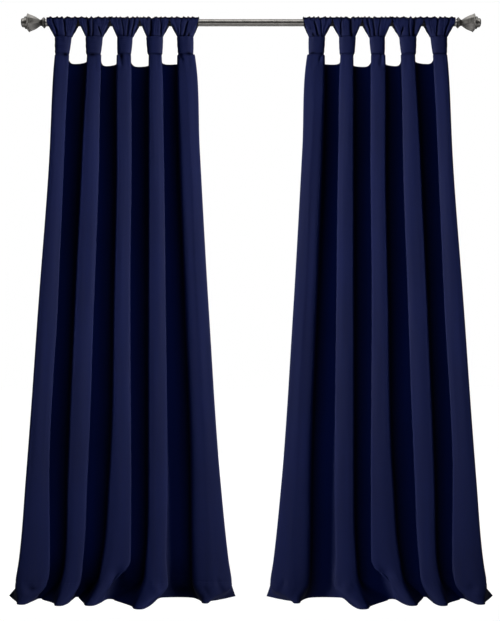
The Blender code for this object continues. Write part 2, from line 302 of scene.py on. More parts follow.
@dataclass
class Cloth:
    """A sheet given by its middle surface, closed to a solid of chosen thickness.

    The front and the back lie half a thickness away along the grid's normals, and a rim of quads joins
    their edges.
    """

    grid: Array
    thickness: Array | float
    flat: Array

    def solid(self) -> tuple[Array, Array, Array]:
        """Close the sheet.

        Returns:
            Points, quads and flat positions.
        """
        rows, columns = self.grid.shape[:2]
        half = np.broadcast_to(np.asarray(self.thickness, float), (rows, columns))[..., None] / 2
        away = grid_normals(self.grid) * half
        points = np.concatenate([(self.grid + away).reshape(-1, 3), (self.grid - away).reshape(-1, 3)])
        size = rows * columns
        front = grid_quads(rows, columns)
        back = front[:, ::-1] + size
        top = np.arange(columns)
        right = np.arange(1, rows) * columns + columns - 1
        bottom = (rows - 1) * columns + np.arange(columns - 2, -1, -1)
        left = np.arange(rows - 2, 0, -1) * columns
        rim = np.concatenate([top, right, bottom, left])
        after = np.roll(rim, -1)
        edge = np.stack([rim, after, after + size, rim + size], axis=1)
        flat = self.flat.reshape(-1, 2)
        return points, np.concatenate([front, back, edge]), np.concatenate([flat, flat])


# Finishes

CHECK_SHARE = 0.5
SLUB_STRETCH = (900.0, 40.0, 1.0)
SLUB_DETAIL = 3.0
CLOTH_MOTTLE = {"Cloud": ((1.0, 1.0, 1.0), 4.0), "Streak": ((14.0, 14.0, 0.6), 4.0)}
METAL_BRUSH = {"Mark": ((9.0, 1.0, 1.0), 5.0), "Patina": ((0.9, 0.9, 0.9), 4.0)}
NOISE_MIDDLE = (0.3, 0.7)


def node_group(name: str, number: str, value: float, outputs: tuple[str, ...]) -> Tree:
    """Start a shader node group that takes a vector and a number.

    Args:
        name: Group name.
        number: Name of its number.
        value: The number's usual value.
        outputs: Names of the numbers that it puts out.

    Returns:
        The group with its input and output nodes.
    """
    group = bpy.data.node_groups.new(name, "ShaderNodeTree")
    group.interface.new_socket(name="Vector", in_out="INPUT", socket_type="NodeSocketVector")
    socket = group.interface.new_socket(name=number, in_out="INPUT", socket_type="NodeSocketFloat")
    socket.default_value = value
    for label in outputs:
        group.interface.new_socket(name=label, in_out="OUTPUT", socket_type="NodeSocketFloat")
    group.nodes.new("NodeGroupInput")
    group.nodes.new("NodeGroupOutput")
    return group


def add_math(tree: Tree, operation: str, first: Number, second: Number | None = None) -> Socket:
    """Add a maths node.

    Args:
        tree: Node tree to add it to.
        operation: Blender's name of the operation.
        first: Socket or number.
        second: Socket or number, if the operation takes two.

    Returns:
        The node's output socket.
    """
    node = tree.nodes.new("ShaderNodeMath")
    node.operation = operation
    for socket, value in zip(node.inputs, (first, second)):
        if isinstance(value, Socket):
            tree.links.new(value, socket)
        elif value is not None:
            socket.default_value = value
    return node.outputs[0]


def add_noise(tree: Tree, place: Socket, stretch: Colour, detail: float) -> Node:
    """Add a noise on a stretched place.

    Args:
        tree: Node tree to add it to.
        place: Socket with the place.
        stretch: Factors along the three axes.
        detail: How fine the noise goes.

    Returns:
        The noise node.
    """
    scale = tree.nodes.new("ShaderNodeVectorMath")
    scale.operation = "MULTIPLY"
    scale.inputs[1].default_value = stretch
    noise = tree.nodes.new("ShaderNodeTexNoise")
    noise.inputs["Detail"].default_value = detail
    tree.links.new(place, scale.inputs[0])
    tree.links.new(scale.outputs[0], noise.inputs["Vector"])
    return noise


def weave_group() -> Tree:
    """Relief of a dense weave: two crossed thread waves in checks, with slubs that thicken a thread.

    Returns:
        The group.
    """
    group = node_group("weave", "Pitch", 0.0009, ("Height", "Thread"))
    source, sink = group.nodes["Group Input"], group.nodes["Group Output"]
    split = group.nodes.new("ShaderNodeSeparateXYZ")
    group.links.new(source.outputs["Vector"], split.inputs[0])
    turn = add_math(group, "DIVIDE", math.pi, source.outputs["Pitch"])
    warp = add_math(group, "SINE", add_math(group, "MULTIPLY", split.outputs[0], turn))
    weft = add_math(group, "SINE", add_math(group, "MULTIPLY", split.outputs[1], turn))
    check = add_math(group, "MULTIPLY", add_math(group, "MULTIPLY", warp, weft), CHECK_SHARE)
    slub = add_noise(group, source.outputs["Vector"], SLUB_STRETCH, SLUB_DETAIL)
    slub.inputs["Scale"].default_value = 1.0
    group.links.new(add_math(group, "ADD", check, slub.outputs["Fac"]), sink.inputs["Height"])
    group.links.new(slub.outputs["Fac"], sink.inputs["Thread"])
    return group


def noise_group(name: str, scale: float, noises: dict[str, tuple[Colour, float]]) -> Tree:
    """Group of slow changes over a surface, one noise for each output.

    Args:
        name: Group name.
        scale: Usual scale of the noises.
        noises: Stretch and detail of each output's noise.

    Returns:
        The group.
    """
    group = node_group(name, "Scale", scale, tuple(noises))
    source, sink = group.nodes["Group Input"], group.nodes["Group Output"]
    for label, (stretch, detail) in noises.items():
        noise = add_noise(group, source.outputs["Vector"], stretch, detail)
        group.links.new(source.outputs["Scale"], noise.inputs["Scale"])
        group.links.new(noise.outputs["Fac"], sink.inputs[label])
    return group


def start_material(name: str) -> tuple[Material, Tree, Node]:
    """Make a node material.

    Args:
        name: Material name.

    Returns:
        The material, its tree and its Principled node.
    """
    material = bpy.data.materials.new(name)
    material.use_nodes = True
    tree = material.node_tree
    return material, tree, tree.nodes["Principled BSDF"]


def place_group(tree: Tree, group: Tree, source: str) -> Node:
    """Put a node group into a material.

    Args:
        tree: The material's tree.
        group: The group.
        source: Coordinates that feed it, Object or UV.

    Returns:
        The group's node.
    """
    node = tree.nodes.new("ShaderNodeGroup")
    node.node_tree = group
    coordinate = tree.nodes.new("ShaderNodeTexCoord")
    tree.links.new(coordinate.outputs[source], node.inputs["Vector"])
    return node


def map_noise(tree: Tree, value: Socket, reach: Span) -> Socket:
    """Map the middle of a noise onto a range.

    Args:
        tree: Node tree to add the node to.
        value: The noise.
        reach: Lowest and highest value.

    Returns:
        Socket with the mapped value.
    """
    node = tree.nodes.new("ShaderNodeMapRange")
    for label, number in zip(("From Min", "From Max", "To Min", "To Max"), (*NOISE_MIDDLE, *reach)):
        node.inputs[label].default_value = number
    tree.links.new(value, node.inputs["Value"])
    return node.outputs["Result"]


def scale_colour(tree: Tree, colour: Colour, amount: Socket) -> Socket:
    """Multiply a fixed colour by a number.

    Args:
        tree: Node tree to add the node to.
        colour: Red, green and blue.
        amount: Socket with the number.

    Returns:
        Socket with the colour.
    """
    node = tree.nodes.new("ShaderNodeVectorMath")
    node.operation = "SCALE"
    node.inputs[0].default_value = colour
    tree.links.new(amount, node.inputs["Scale"])
    return node.outputs[0]


def read_mask(tree: Tree) -> Socket:
    """Read the share of light left that every piece carries.

    Args:
        tree: The material's tree.

    Returns:
        Socket with the share.
    """
    node = tree.nodes.new("ShaderNodeAttribute")
    node.attribute_name = "mask"
    return node.outputs["Fac"]


def add_bump(tree: Tree, height: Socket, strength: float, distance: float) -> None:
    """Let a height tilt the material's normal.

    Args:
        tree: The material's tree.
        height: Socket with the height from 0 to 1.
        strength: How much of the tilt is used.
        distance: Height in metres of a full step.
    """
    bump = tree.nodes.new("ShaderNodeBump")
    bump.inputs["Strength"].default_value = strength
    bump.inputs["Distance"].default_value = distance
    tree.links.new(height, bump.inputs["Height"])
    tree.links.new(bump.outputs["Normal"], tree.nodes["Principled BSDF"].inputs["Normal"])


@dataclass(frozen=True)
class ClothFinish:
    """Dense navy blackout cloth: dark, almost matt, with a satin gleam on its crests."""

    name: str
    colour: Colour = (0.0012, 0.0048, 0.0470)
    roughness: float = 0.80
    roughness_change: float = 0.03
    specular: float = 0.38
    pitch: float = 0.0009
    relief: float = 0.00012
    bump: float = 0.35
    clouds: Span = (0.90, 1.10)
    streaks: Span = (0.93, 1.07)
    threads: Span = (0.88, 1.12)

    def material(self, weave: Tree, mottle: Tree) -> Material:
        """Build the cloth's material.

        Args:
            weave: Group with the weave's relief.
            mottle: Group with the slow change of colour.

        Returns:
            The material.
        """
        material, tree, shader = start_material(self.name)
        thread = place_group(tree, weave, "UV")
        thread.inputs["Pitch"].default_value = self.pitch
        slow = place_group(tree, mottle, "Object")
        left = read_mask(tree)
        tone = map_noise(tree, slow.outputs["Cloud"], self.clouds)
        for change in (map_noise(tree, slow.outputs["Streak"], self.streaks),
                       map_noise(tree, thread.outputs["Thread"], self.threads), left):
            tone = add_math(tree, "MULTIPLY", tone, change)
        tree.links.new(scale_colour(tree, self.colour, tone), shader.inputs["Base Color"])
        tree.links.new(add_math(tree, "MULTIPLY", left, self.specular), shader.inputs["Specular IOR Level"])
        reach = (self.roughness - self.roughness_change, self.roughness + self.roughness_change)
        tree.links.new(map_noise(tree, slow.outputs["Streak"], reach), shader.inputs["Roughness"])
        add_bump(tree, thread.outputs["Height"], self.bump, self.relief)
        return material


@dataclass(frozen=True)
class MetalFinish:
    """Satin pewter with brushed marks and patina, with painted shade and painted highlights from a mask.

    Between the two distances of `covered` from the middle, where the tabs keep the light off, only
    `covered_share` of it is left.
    """

    name: str
    colour: Colour = (0.480, 0.460, 0.430)
    roughness: float = 0.30
    smoother: float = 0.06
    rougher: float = 0.10
    patina: Span = (0.80, 1.15)
    bump: float = 0.15
    relief: float = 0.0003
    has_mask: bool = False
    covered: Span = (0.0, 0.0)
    covered_share: float = 0.06

    def material(self, brush: Tree) -> Material:
        """Build the metal's material.

        Args:
            brush: Group with the brushed marks and the patina.

        Returns:
            The material.
        """
        material, tree, shader = start_material(self.name)
        shader.inputs["Metallic"].default_value = 1.0
        marks = place_group(tree, brush, "Object")
        tone = map_noise(tree, marks.outputs["Patina"], self.patina)
        # Painted shade and painted highlights: the piece's mask multiplies the colour.
        if self.has_mask:
            tone = add_math(tree, "MULTIPLY", tone, read_mask(tree))
        if self.covered[1] > 0:
            tone = add_math(tree, "MULTIPLY", tone, self.under_cloth(tree))
        tree.links.new(scale_colour(tree, self.colour, tone), shader.inputs["Base Color"])
        reach = (self.roughness - self.smoother, self.roughness + self.rougher)
        tree.links.new(map_noise(tree, marks.outputs["Mark"], reach), shader.inputs["Roughness"])
        add_bump(tree, marks.outputs["Mark"], self.bump, self.relief)
        return material

    def under_cloth(self, tree: Tree) -> Socket:
        """Share of light left on the metal between the tabs, given by the distance from the middle.

        Args:
            tree: The material's node tree.

        Returns:
            Socket with the share.
        """
        coordinate = tree.nodes.new("ShaderNodeTexCoord")
        split = tree.nodes.new("ShaderNodeSeparateXYZ")
        tree.links.new(coordinate.outputs["Object"], split.inputs[0])
        distance = add_math(tree, "ABSOLUTE", split.outputs[0])
        near = add_math(tree, "GREATER_THAN", distance, self.covered[0])
        far = add_math(tree, "LESS_THAN", distance, self.covered[1])
        lost = add_math(tree, "MULTIPLY", add_math(tree, "MULTIPLY", near, far), self.covered_share - 1)
        return add_math(tree, "ADD", lost, 1.0)


@dataclass(frozen=True)
class Finishes:
    """Every material of the object, made once."""

    panel: Material
    tab: Material
    knot: Material
    thread: Material
    pole: Material
    finial: Material

    @classmethod
    def make(cls) -> Finishes:
        """Build the shared node groups and all the materials.

        Returns:
            The finishes.
        """
        weave = weave_group()
        mottle = noise_group("mottle", 3.0, CLOTH_MOTTLE)
        brush = noise_group("brush", 60.0, METAL_BRUSH)
        return cls(
            panel=ClothFinish("panel_cloth").material(weave, mottle),
            tab=ClothFinish("tab_cloth").material(weave, mottle),
            knot=ClothFinish("knot_cloth").material(weave, mottle),
            thread=ClothFinish("navy_thread", pitch=0.0004).material(weave, mottle),
            pole=MetalFinish("rod_pewter", covered=(0.193, 0.747)).material(brush),
            finial=MetalFinish("finial_pewter", roughness=0.34, has_mask=True).material(brush),
        )


# Panel


@dataclass(frozen=True)
class Level:
    """A height at which the folds are given, with the reach of pleats and valleys there.

    share is how much of a fold's undercut and softness is reached there; before_pleat is how far a valley
    runs in behind the pleat on its right.
    """

    name: str
    z: float
    front: float
    back: float
    side: float
    share: float
    before_pleat: float


@dataclass(frozen=True)
class Pleat:
    """Left and right edge of a pleat at each level in millimetres, and its form at the hem."""

    neck: Span
    heading: Span
    upper: Span
    middle: Span
    lower: Span
    knee: Span
    flare: Span
    hem: Span
    hem_front: float
    hem_drop: float
    softness: float = 1.0
    turn: float = 0.0


@dataclass(frozen=True)
class Valley:
    """A valley between two pleats, in millimetres.

    It has its edges and depth at the hem, its top edge, how far it runs in behind the pleat on its left,
    and how much its top edge rises at its left and right.
    """

    hem_left: float
    hem_right: float
    hem_back: float
    top_z: float
    undercut: float
    rise_left: float
    rise_right: float


@dataclass(frozen=True)
class SideHem:
    """A side edge of the panel: its turn behind the pleat beside it and its corner at the hem."""

    inset: float
    back: float
    corner_x: float
    corner_y: float
    corner_lift: float


@dataclass(frozen=True)
class Pucker:
    """Small waves along a row of stitches, whose length wanders."""

    height: float
    length: float
    reach: float
    wander: float
    wander_rate: float

    def waves(self, gap: Array, run: Array) -> Array:
        """Raise the waves, falling off on both sides of the row.

        Args:
            gap: Distance from the row.
            run: Distance along it.

        Returns:
            The height at each point.
        """
        turn = 2 * np.pi * run / self.length + self.wander * np.sin(run * self.wander_rate)
        return self.height * bell(gap, self.reach) * np.sin(turn)


@dataclass(frozen=True)
class Crease:
    """A soft trough or ridge between two points seen from the front, in millimetres."""

    start: Span
    end: Span
    width: float
    height: float


HEM_Z = -2.1185
LEVELS = (
    Level("neck", -0.1165, -0.0080, 0.030, 0.0085, 0.00, -0.002),
    Level("heading", -0.1225, -0.0185, 0.040, 0.0045, 0.30, -0.004),
    Level("upper", -0.4700, -0.0460, 0.046, 0.0035, 1.00, -0.007),
    Level("middle", -1.0210, -0.0440, 0.036, 0.0035, 1.00, -0.008),
    Level("lower", -1.6743, -0.0420, 0.030, 0.0045, 1.00, -0.008),
    Level("knee", -1.9633, -0.0460, 0.026, 0.0060, 0.90, -0.008),
    Level("flare", -2.0508, -0.0530, 0.023, 0.0090, 0.60, -0.010),
    Level("hem", HEM_Z, -0.0600, 0.020, 0.024, 0.00, 0.000),
)
PLEATS = (
    Pleat((-717, -671), (-717, -667), (-729, -679), (-769, -703),
          (-817, -735), (-841, -732), (-853, -742), (-853, -804), -54, 1.6, 1.0, 0.06),
    Pleat((-603, -555), (-599, -549), (-612, -552), (-638, -571),
          (-666, -596), (-674, -611), (-691, -622), (-716, -664), -62, 3.4, 1.0, 0.04),
    Pleat((-488, -444), (-490, -440), (-487, -435), (-497, -440),
          (-515, -437), (-540, -438), (-560, -508), (-607, -549), -62, 3.0, 1.0, 0.02),
    Pleat((-377, -329), (-373, -328), (-371, -318), (-372, -311),
          (-373, -305), (-382, -309), (-394, -302), (-430, -365), -88, 6.5, 1.0, 0.0),
    Pleat((-265, -215), (-268, -206), (-258, -187), (-237, -156),
          (-215, -112), (-212, -82), (-208, -70), (-182, -147), -42, 0.7, 2.2, 0.0),
)
VALLEYS = (
    Valley(-788, -766, 7, -142, 20, 11, 17),
    Valley(-652, -636, 26, -149.5, 17, 9, 14),
    Valley(-534, -500, 1, -152.5, 14, 14, 9),
    Valley(-338, -208, 22, -143, 11, 7, 3),
)
OUTER_SIDE = SideHem(0.005, 0.048, -0.899, 0.032, 0.0040)
INNER_SIDE = SideHem(0.005, 0.044, -0.057, 0.030, 0.0030)
CREASES = (
    Crease((-480, -117), (-472, -160), 6, -4.0),
    Crease((-262, -118), (-252, -142), 5, -3.5),
    Crease((-806, -2060), (-798, -2066), 15, -5.0),
    Crease((-820, -2082), (-786, -2078), 9, 2.0),
    Crease((-484, -2018), (-478, -2046), 22, -9.0),
    Crease((-455, -2000), (-448, -2040), 14, 3.0),
    Crease((-352, -2052), (-338, -2072), 12, 3.5),
    Crease((-168, -2066), (-150, -2092), 9, -2.2),
    Crease((-120, -2040), (-104, -2082), 9, -2.4),
    Crease((-96, -2052), (-84, -2090), 7, 1.8),
    Crease((-590, -2062), (-600, -2092), 10, -2.0),
)
HEM_HOLLOWS = (
    Shade(-789, -2062, 11, 5, 0.5),
    Shade(-481, -2036, 14, 15, 0.6),
    Shade(-462, -2073, 46, 22, 0.45, -45),
    Shade(-708, -2086, 27, 26, 0.35, -30),
    Shade(-592, -2080, 32, 30, 0.8, -30),
    Shade(-254, -2090, 42, 22, 0.65, -30),
)
KNOT_HOLLOWS = (
    Shade(-680, -121, 8, 7, 1.0),
    Shade(-579, -122, 11, 7, 1.0),
    Shade(-474, -129, 9, 14, 0.8),
    Shade(-228, -117, 8, 6, 0.95),
    Shade(-258, -132, 6, 14, 0.8),
    Shade(-352, -122, 22, 1.6, 0.4),
)
KNOT_FAN = ((-9, 42, -0.7), (1, 28, -0.5), (10, 50, -0.8))
PANEL_RIPPLES = (
    (0.061, 0.00030, 1.30, 0.4),
    (0.043, 0.00022, 0.90, 2.1),
    (0.029, 0.00012, 1.10, 4.0),
    (0.017, 0.00005, 0.70, 5.2),
)


@dataclass
class Panel:
    """One blackout panel: pleats and valleys that run from the knots to a flaring hem.

    Each level gives plan points of the folds, joined to a soft curve. The columns follow the levels down
    without overshoot. Ripples, creases, hems and stitch puckers are then raised along the normals.
    """

    side: Side
    finishes: Finishes
    width: float = 1.32
    length: float = 2.03
    columns: int = 377
    rows: int = 128
    row_crowding: float = 0.112
    cloth: float = 0.0017
    hem_cloth: float = 0.0006
    hem_depth: float = 0.078
    side_hem: float = 0.026
    left_shoulder: float = 0.20
    right_shoulder: float = 0.34
    right_side: float = 0.0035
    valley_shoulder: float = 0.20
    valley_side: float = 0.008
    edge_steps: tuple[tuple[float, float, float], ...] = (
        (-0.0020, 0.0, 0.0), (0.0003, 0.0016, 0.12), (-0.0012, 0.0055, 0.30))
    corner_pull: float = 0.5
    tongue_top: float = -0.1065
    tongue_side: float = -0.1168
    side_hem_top: float = -0.1228
    valley_rises: Span = (0.2, 0.4)
    first_falls: tuple[float, float, float] = (0.20, 0.55, 1.0)
    later_falls: tuple[float, float, float] = (0.65, 0.90, 1.0)
    edge_fall: float = 0.4
    valley_falls: tuple[float, float, float, float] = (0.0, 0.0, 0.12, 0.32)
    calm_top: Span = (0.135, 0.20)
    hem_pucker: Pucker = Pucker(0.00035, 0.013, 0.016, 1.5, 37.0)
    side_pucker: Pucker = Pucker(0.0005, 0.047, 0.007, 2.0, 9.0)
    side_pucker_top: Span = (0.14, 0.20)
    groove_depth: float = 0.0008
    groove_width: float = 0.004
    hem_step: Span = (-0.001, 0.003)
    hem_start: Span = (0.02, 0.05)
    facing: Span = (0.15, 0.6)
    fold_front: Span = (-0.01, 0.02)
    fold_back: Span = (-0.02, 0.01)
    valley_top: Span = (0.0, 0.02)
    fan_top: float = -112
    fan_bottom: float = -122
    fan_width: float = 4.5
    fan_lean: float = 0.45
    fan_wander: float = 2.5
    low_band: Span = (1.93, 2.06)
    low_shade: float = 0.45
    knot_band: Span = (-0.1215, -0.1175)
    knot_shade: float = 0.15
    top_band: Span = (0.002, 0.008)
    top_shade: float = 0.7
    grid: Array = field(init=False)
    normal: Array = field(init=False)
    across: Array = field(init=False)
    down: Array = field(init=False)

    def controls(self, level: Level) -> Array:
        """Plan points of the folds at a level, from the outer side hem to the inner one.

        Args:
            level: The level.

        Returns:
            Rows of x and y.
        """
        at_hem = level.name == "hem"
        edges = [(left * MM, right * MM) for left, right in (getattr(p, level.name) for p in PLEATS)]
        points: Points = []
        for number, (left, right) in enumerate(edges):
            pleat = PLEATS[number]
            front = pleat.hem_front * MM if at_hem else level.front
            width = right - left
            soft = 1 + (pleat.softness - 1) * level.share
            slope = pleat.turn * level.share * width
            side = front + level.side + level.share * (self.right_side - level.side) + slope / 2
            shoulder = self.left_shoulder * soft
            points.append((left, front + level.side * soft - slope / 2))
            points.append((left + shoulder * width, front - slope * (0.5 - shoulder)))
            points.append((right - self.right_shoulder * width, front + slope * (0.5 - self.right_shoulder)))
            after = self.valley(level, number, edges)
            for step_x, step_y, way in self.edge_steps:
                x = right + level.share * step_x + (1 - level.share) * way * (after[0][0] - right)
                y = side + level.share * step_y + (1 - level.share) * way * (after[0][1] - side)
                points.append((x, y))
            points += after
        outer = (points[0][0] + OUTER_SIDE.inset, points[0][1] + OUTER_SIDE.back)
        if at_hem:
            outer = (OUTER_SIDE.corner_x, OUTER_SIDE.corner_y)
        return np.array([outer, *points])

    def valley(self, level: Level, number: int, edges: Points) -> Points:
        """Plan points after a pleat: the valley on its right, or the inner side hem after the last pleat.

        Args:
            level: The level they lie at.
            number: Which pleat, from 0.
            edges: Left and right edge of every pleat there.

        Returns:
            Four plan points, or one for the side hem.
        """
        at_hem = level.name == "hem"
        right = edges[number][1]
        if number == len(VALLEYS):
            if at_hem:
                return [(INNER_SIDE.corner_x, INNER_SIDE.corner_y)]
            return [(right - INNER_SIDE.inset, level.front + INNER_SIDE.back + self.right_side)]
        valley = VALLEYS[number]
        start = valley.hem_left * MM if at_hem else right - level.share * valley.undercut * MM
        end = valley.hem_right * MM if at_hem else edges[number + 1][0] + level.before_pleat
        back = valley.hem_back * MM if at_hem else level.back
        shoulder = self.valley_shoulder * (end - start)
        side = back - self.valley_side
        return [(start, side), (start + shoulder, back), (end - shoulder, back), (end, side)]

    def edge_heights(self) -> tuple[Array, Array]:
        """Heights of the two edges that run across the panel.

        Returns:
            Height of the top edge and of the hem at each column.
        """
        top, hem = [self.side_hem_top], [OUTER_SIDE.corner_lift]
        early, late = self.valley_rises
        for number, pleat in enumerate(PLEATS):
            top += [self.tongue_side, self.tongue_top, self.tongue_top]
            top += [self.tongue_side] * len(self.edge_steps)
            falls = self.later_falls if number else self.first_falls
            hem += [-pleat.hem_drop * MM * share for share in falls]
            hem += [-self.edge_fall * pleat.hem_drop * MM * (1 - step[2]) for step in self.edge_steps]
            if number < len(VALLEYS):
                valley = VALLEYS[number]
                left, right = valley.rise_left * MM, valley.rise_right * MM
                top += [valley.top_z * MM + rise for rise in (left, early * left, late * right, right)]
                hem += [-PLEATS[number + 1].hem_drop * MM * share for share in self.valley_falls]
        top.append(self.side_hem_top)
        hem.append(INNER_SIDE.corner_lift)
        columns = [soft_curve(np.array(row)[:, None], self.columns)[:, 0] for row in (top, hem)]
        return columns[0], columns[1] + HEM_Z

    def shape(self) -> None:
        """Lay out the middle surface with all its relief."""
        curves = [soft_curve(self.controls(level), self.columns, self.corner_pull) for level in LEVELS]
        top, hem = self.edge_heights()
        v = np.linspace(0, 1, self.rows)[:, None]
        z = top + (hem - top) * (v - self.row_crowding * np.sin(2 * np.pi * v))
        plane = follow_levels(np.array([-level.z for level in LEVELS]), np.stack(curves), -z)
        grid = np.concatenate([plane, z[..., None]], axis=2)
        steps = np.linalg.norm(np.diff(grid, axis=1), axis=2).mean(axis=0)
        run = np.concatenate([[0.0], np.cumsum(steps)])
        self.across = np.broadcast_to(run / run[-1] * self.width, z.shape)
        self.down = top - z
        normal = grid_normals(grid)
        ripples = ease(-z, *self.calm_top) * band_noise(self.across, -z, PANEL_RIPPLES)
        relief = ripples + self.stitch_puckers(z, hem) + self.creases(grid, normal)
        self.grid = grid + normal * relief[..., None]
        self.normal = grid_normals(self.grid)

    def stitch_puckers(self, z: Array, hem: Array) -> Array:
        """Small puckers and a groove along the hem's stitches, and puckers along the side hems.

        Args:
            z: Height of each point.
            hem: Height of the hem at each column.

        Returns:
            The height of the relief.
        """
        gap = z - hem - self.hem_depth
        beside = np.minimum(self.across, self.width - self.across) - self.side_hem
        sides = self.side_pucker.waves(beside, self.down) * ease(-z, *self.side_pucker_top)
        groove = self.groove_depth * bell(gap, self.groove_width)
        return self.hem_pucker.waves(gap, self.across) - groove + sides

    def creases(self, grid: Array, normal: Array) -> Array:
        """Troughs and ridges on the parts that face the front.

        Args:
            grid: Points of the cloth.
            normal: Its normals.

        Returns:
            The height of the relief.
        """
        facing = ease(-normal[..., 1], *self.facing) * (1 - ease(grid[..., 1], *self.fold_front))
        total = np.zeros(grid.shape[:2])
        for crease in CREASES + self.knot_creases():
            a, b = np.array(crease.start) * MM, np.array(crease.end) * MM
            place = grid[..., [0, 2]] - a
            along = np.clip((place @ (b - a)) / ((b - a) @ (b - a)), 0, 1)
            gap = np.linalg.norm(place - along[..., None] * (b - a), axis=2)
            total += crease.height * MM * bell(gap, crease.width * MM)
        return total * facing

    def knot_creases(self) -> tuple[Crease, ...]:
        """Short creases that fan out under each knot.

        Returns:
            The creases.
        """
        made = []
        for number, pleat in enumerate(PLEATS):
            centre = sum(pleat.neck) / 2
            for turn, (offset, reach, height) in enumerate(KNOT_FAN):
                lean = self.fan_lean * offset + self.fan_wander * math.sin(3.1 * number + turn)
                start = (centre + offset, self.fan_top)
                end = (centre + offset + lean, self.fan_bottom - reach)
                made.append(Crease(start, end, self.fan_width, height))
        return tuple(made)

    def thickness(self) -> Array:
        """Cloth thickness, with the cloth that the bottom hem and the side hems add.

        Returns:
            The thickness at each point.
        """
        height = self.grid[..., 2] - self.grid[-1, :, 2]
        edge = np.minimum(self.across, self.width - self.across)
        gap = np.maximum(self.hem_depth - height, self.side_hem - edge)
        return self.cloth + self.hem_cloth * ease(gap, *self.hem_step) * ease(self.down, *self.hem_start)

    def mask(self) -> Array:
        """Light left on the cloth: less in the hollows, low in the valleys and under the knots.

        Returns:
            A share for each point of the front and of the back.
        """
        y, z = self.grid[..., 1], self.grid[..., 2]
        front = shaded(self.grid, HEM_HOLLOWS + KNOT_HOLLOWS)
        front *= 1 - self.low_shade * ease(-z, *self.low_band) * ease(y, *self.fold_back)
        front *= 1 - self.knot_shade * ease(z, *self.knot_band)
        front *= 1 - self.top_shade * (1 - ease(self.down, *self.top_band)) * ease(y, *self.valley_top)
        return np.concatenate([front.ravel(), np.ones(front.size)])

    def build(self) -> Piece:
        """Make the panel.

        Returns:
            The panel.
        """
        self.shape()
        flat = np.stack([self.across, -self.down], axis=2)
        turned = self.grid * np.array((self.side.value, 1, 1))
        points, quads, uv = Cloth(turned, self.thickness(), flat).solid()
        name = f"panel_{self.side.label}"
        item = add_piece(f"{name}_cloth", points, quads, self.finishes.panel, uv, self.mask(), sharp=60)
        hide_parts(name)
        return item


GRAIN_SECTION = ((-1, -0.6), (1, -0.6), (0.7, 0.6), (-0.7, 0.6))
GRAIN_FACES = ((0, 1, 5, 4), (1, 2, 6, 5), (2, 3, 7, 6), (3, 0, 4, 7), (0, 3, 2, 1), (4, 5, 6, 7))


@dataclass
class Stitching:
    """Rows of short stitches along a panel's hems: slim grains laid on the cloth."""

    panel: Panel
    pitch: float = 0.0042
    length: float = 0.0030
    radius: float = 0.00035
    lift: float = 0.0004
    side_margin: int = 3
    top_margin: int = 12
    look_ahead: float = 0.001

    def lines(self) -> list[tuple[Array, Array]]:
        """Follow the stitch rows: bottom hem, outer side and inner side.

        Returns:
            The points and the normals of each row.
        """
        panel = self.panel
        rows = panel.grid.shape[0]
        height = panel.grid[..., 2] - panel.grid[-1, :, 2]
        column = np.arange(height.shape[1])
        row = np.array([np.searchsorted(-height[:, c], -panel.hem_depth) for c in column])
        row = np.clip(row, 1, rows - 1)
        high, low = height[row - 1, column], height[row, column]
        t = ((high - panel.hem_depth) / (high - low))[:, None]
        inside = slice(self.side_margin, -self.side_margin)
        path, normal = (((1 - t) * values[row - 1, column] + t * values[row, column])[inside]
                        for values in (panel.grid, panel.normal))
        lines = [(path, normal)]
        for target in (panel.side_hem, panel.width - panel.side_hem):
            c = int(np.argmin(np.abs(panel.across[0] - target)))
            keep = slice(self.top_margin, rows - 2)
            lines.append((panel.grid[keep, c], panel.normal[keep, c]))
        return lines

    def build(self) -> Piece:
        """Make one piece of all the panel's stitches.

        Returns:
            The piece.
        """
        clouds = []
        for path, normal in self.lines():
            run = np.concatenate([[0.0], np.cumsum(np.linalg.norm(np.diff(path, axis=0), axis=1))])
            places = np.arange(self.pitch, run[-1] - self.pitch, self.pitch)
            centre = self.read(places, run, path)
            ahead = self.read(places + self.look_ahead, run, path) - centre
            ahead /= np.linalg.norm(ahead, axis=1, keepdims=True)
            up = self.read(places, run, normal)
            up /= np.linalg.norm(up, axis=1, keepdims=True)
            centre = centre + up * (self.panel.cloth / 2 + self.lift)
            clouds.append(self.grains(centre, ahead, up))
        points = np.concatenate(clouds) * np.array((self.panel.side.value, 1, 1))
        quads = (np.arange(0, len(points), 8)[:, None, None] + np.array(GRAIN_FACES)).reshape(-1, 4)
        name = f"stitches_{self.panel.side.label}"
        item = add_piece(name, points, quads, self.panel.finishes.thread, points[:, [0, 2]])
        return item

    def read(self, places: Array, run: Array, values: Array) -> Array:
        """Read rows of three values at places along a run."""
        return np.stack([np.interp(places, run, values[:, k]) for k in range(3)], axis=1)

    def grains(self, centre: Array, ahead: Array, up: Array) -> Array:
        """Lay a grain at each place: wide below, narrow above.

        Args:
            centre: Middle of each stitch.
            ahead: Its direction along the row.
            up: Its direction away from the cloth.

        Returns:
            Eight corners of each stitch.
        """
        beside = np.cross(ahead, up)
        corners = [centre + ahead * self.length * end + (beside * a + up * b) * self.radius
                   for end in (-0.5, 0.5) for a, b in GRAIN_SECTION]
        return np.stack(corners, axis=1).reshape(-1, 3)


# Tabs and knots


@dataclass(frozen=True)
class Gather:
    """A fold line of a tab, with its place from -1 to 1 across the tab and its sizes in millimetres.

    It starts at a height and slants by a share of the tab's half width.
    """

    place: float
    depth: float
    width: float
    start: float = 20.0
    slant: float = 0.0


@dataclass(frozen=True)
class TabSize:
    """A tab's ends on the rod and its knot in millimetres, with the gathers drawn into the knot."""

    rod_left: float
    rod_right: float
    top_centre: float
    top_width: float
    bottom_centre: float
    bottom_width: float
    gathers: tuple[Gather, ...]


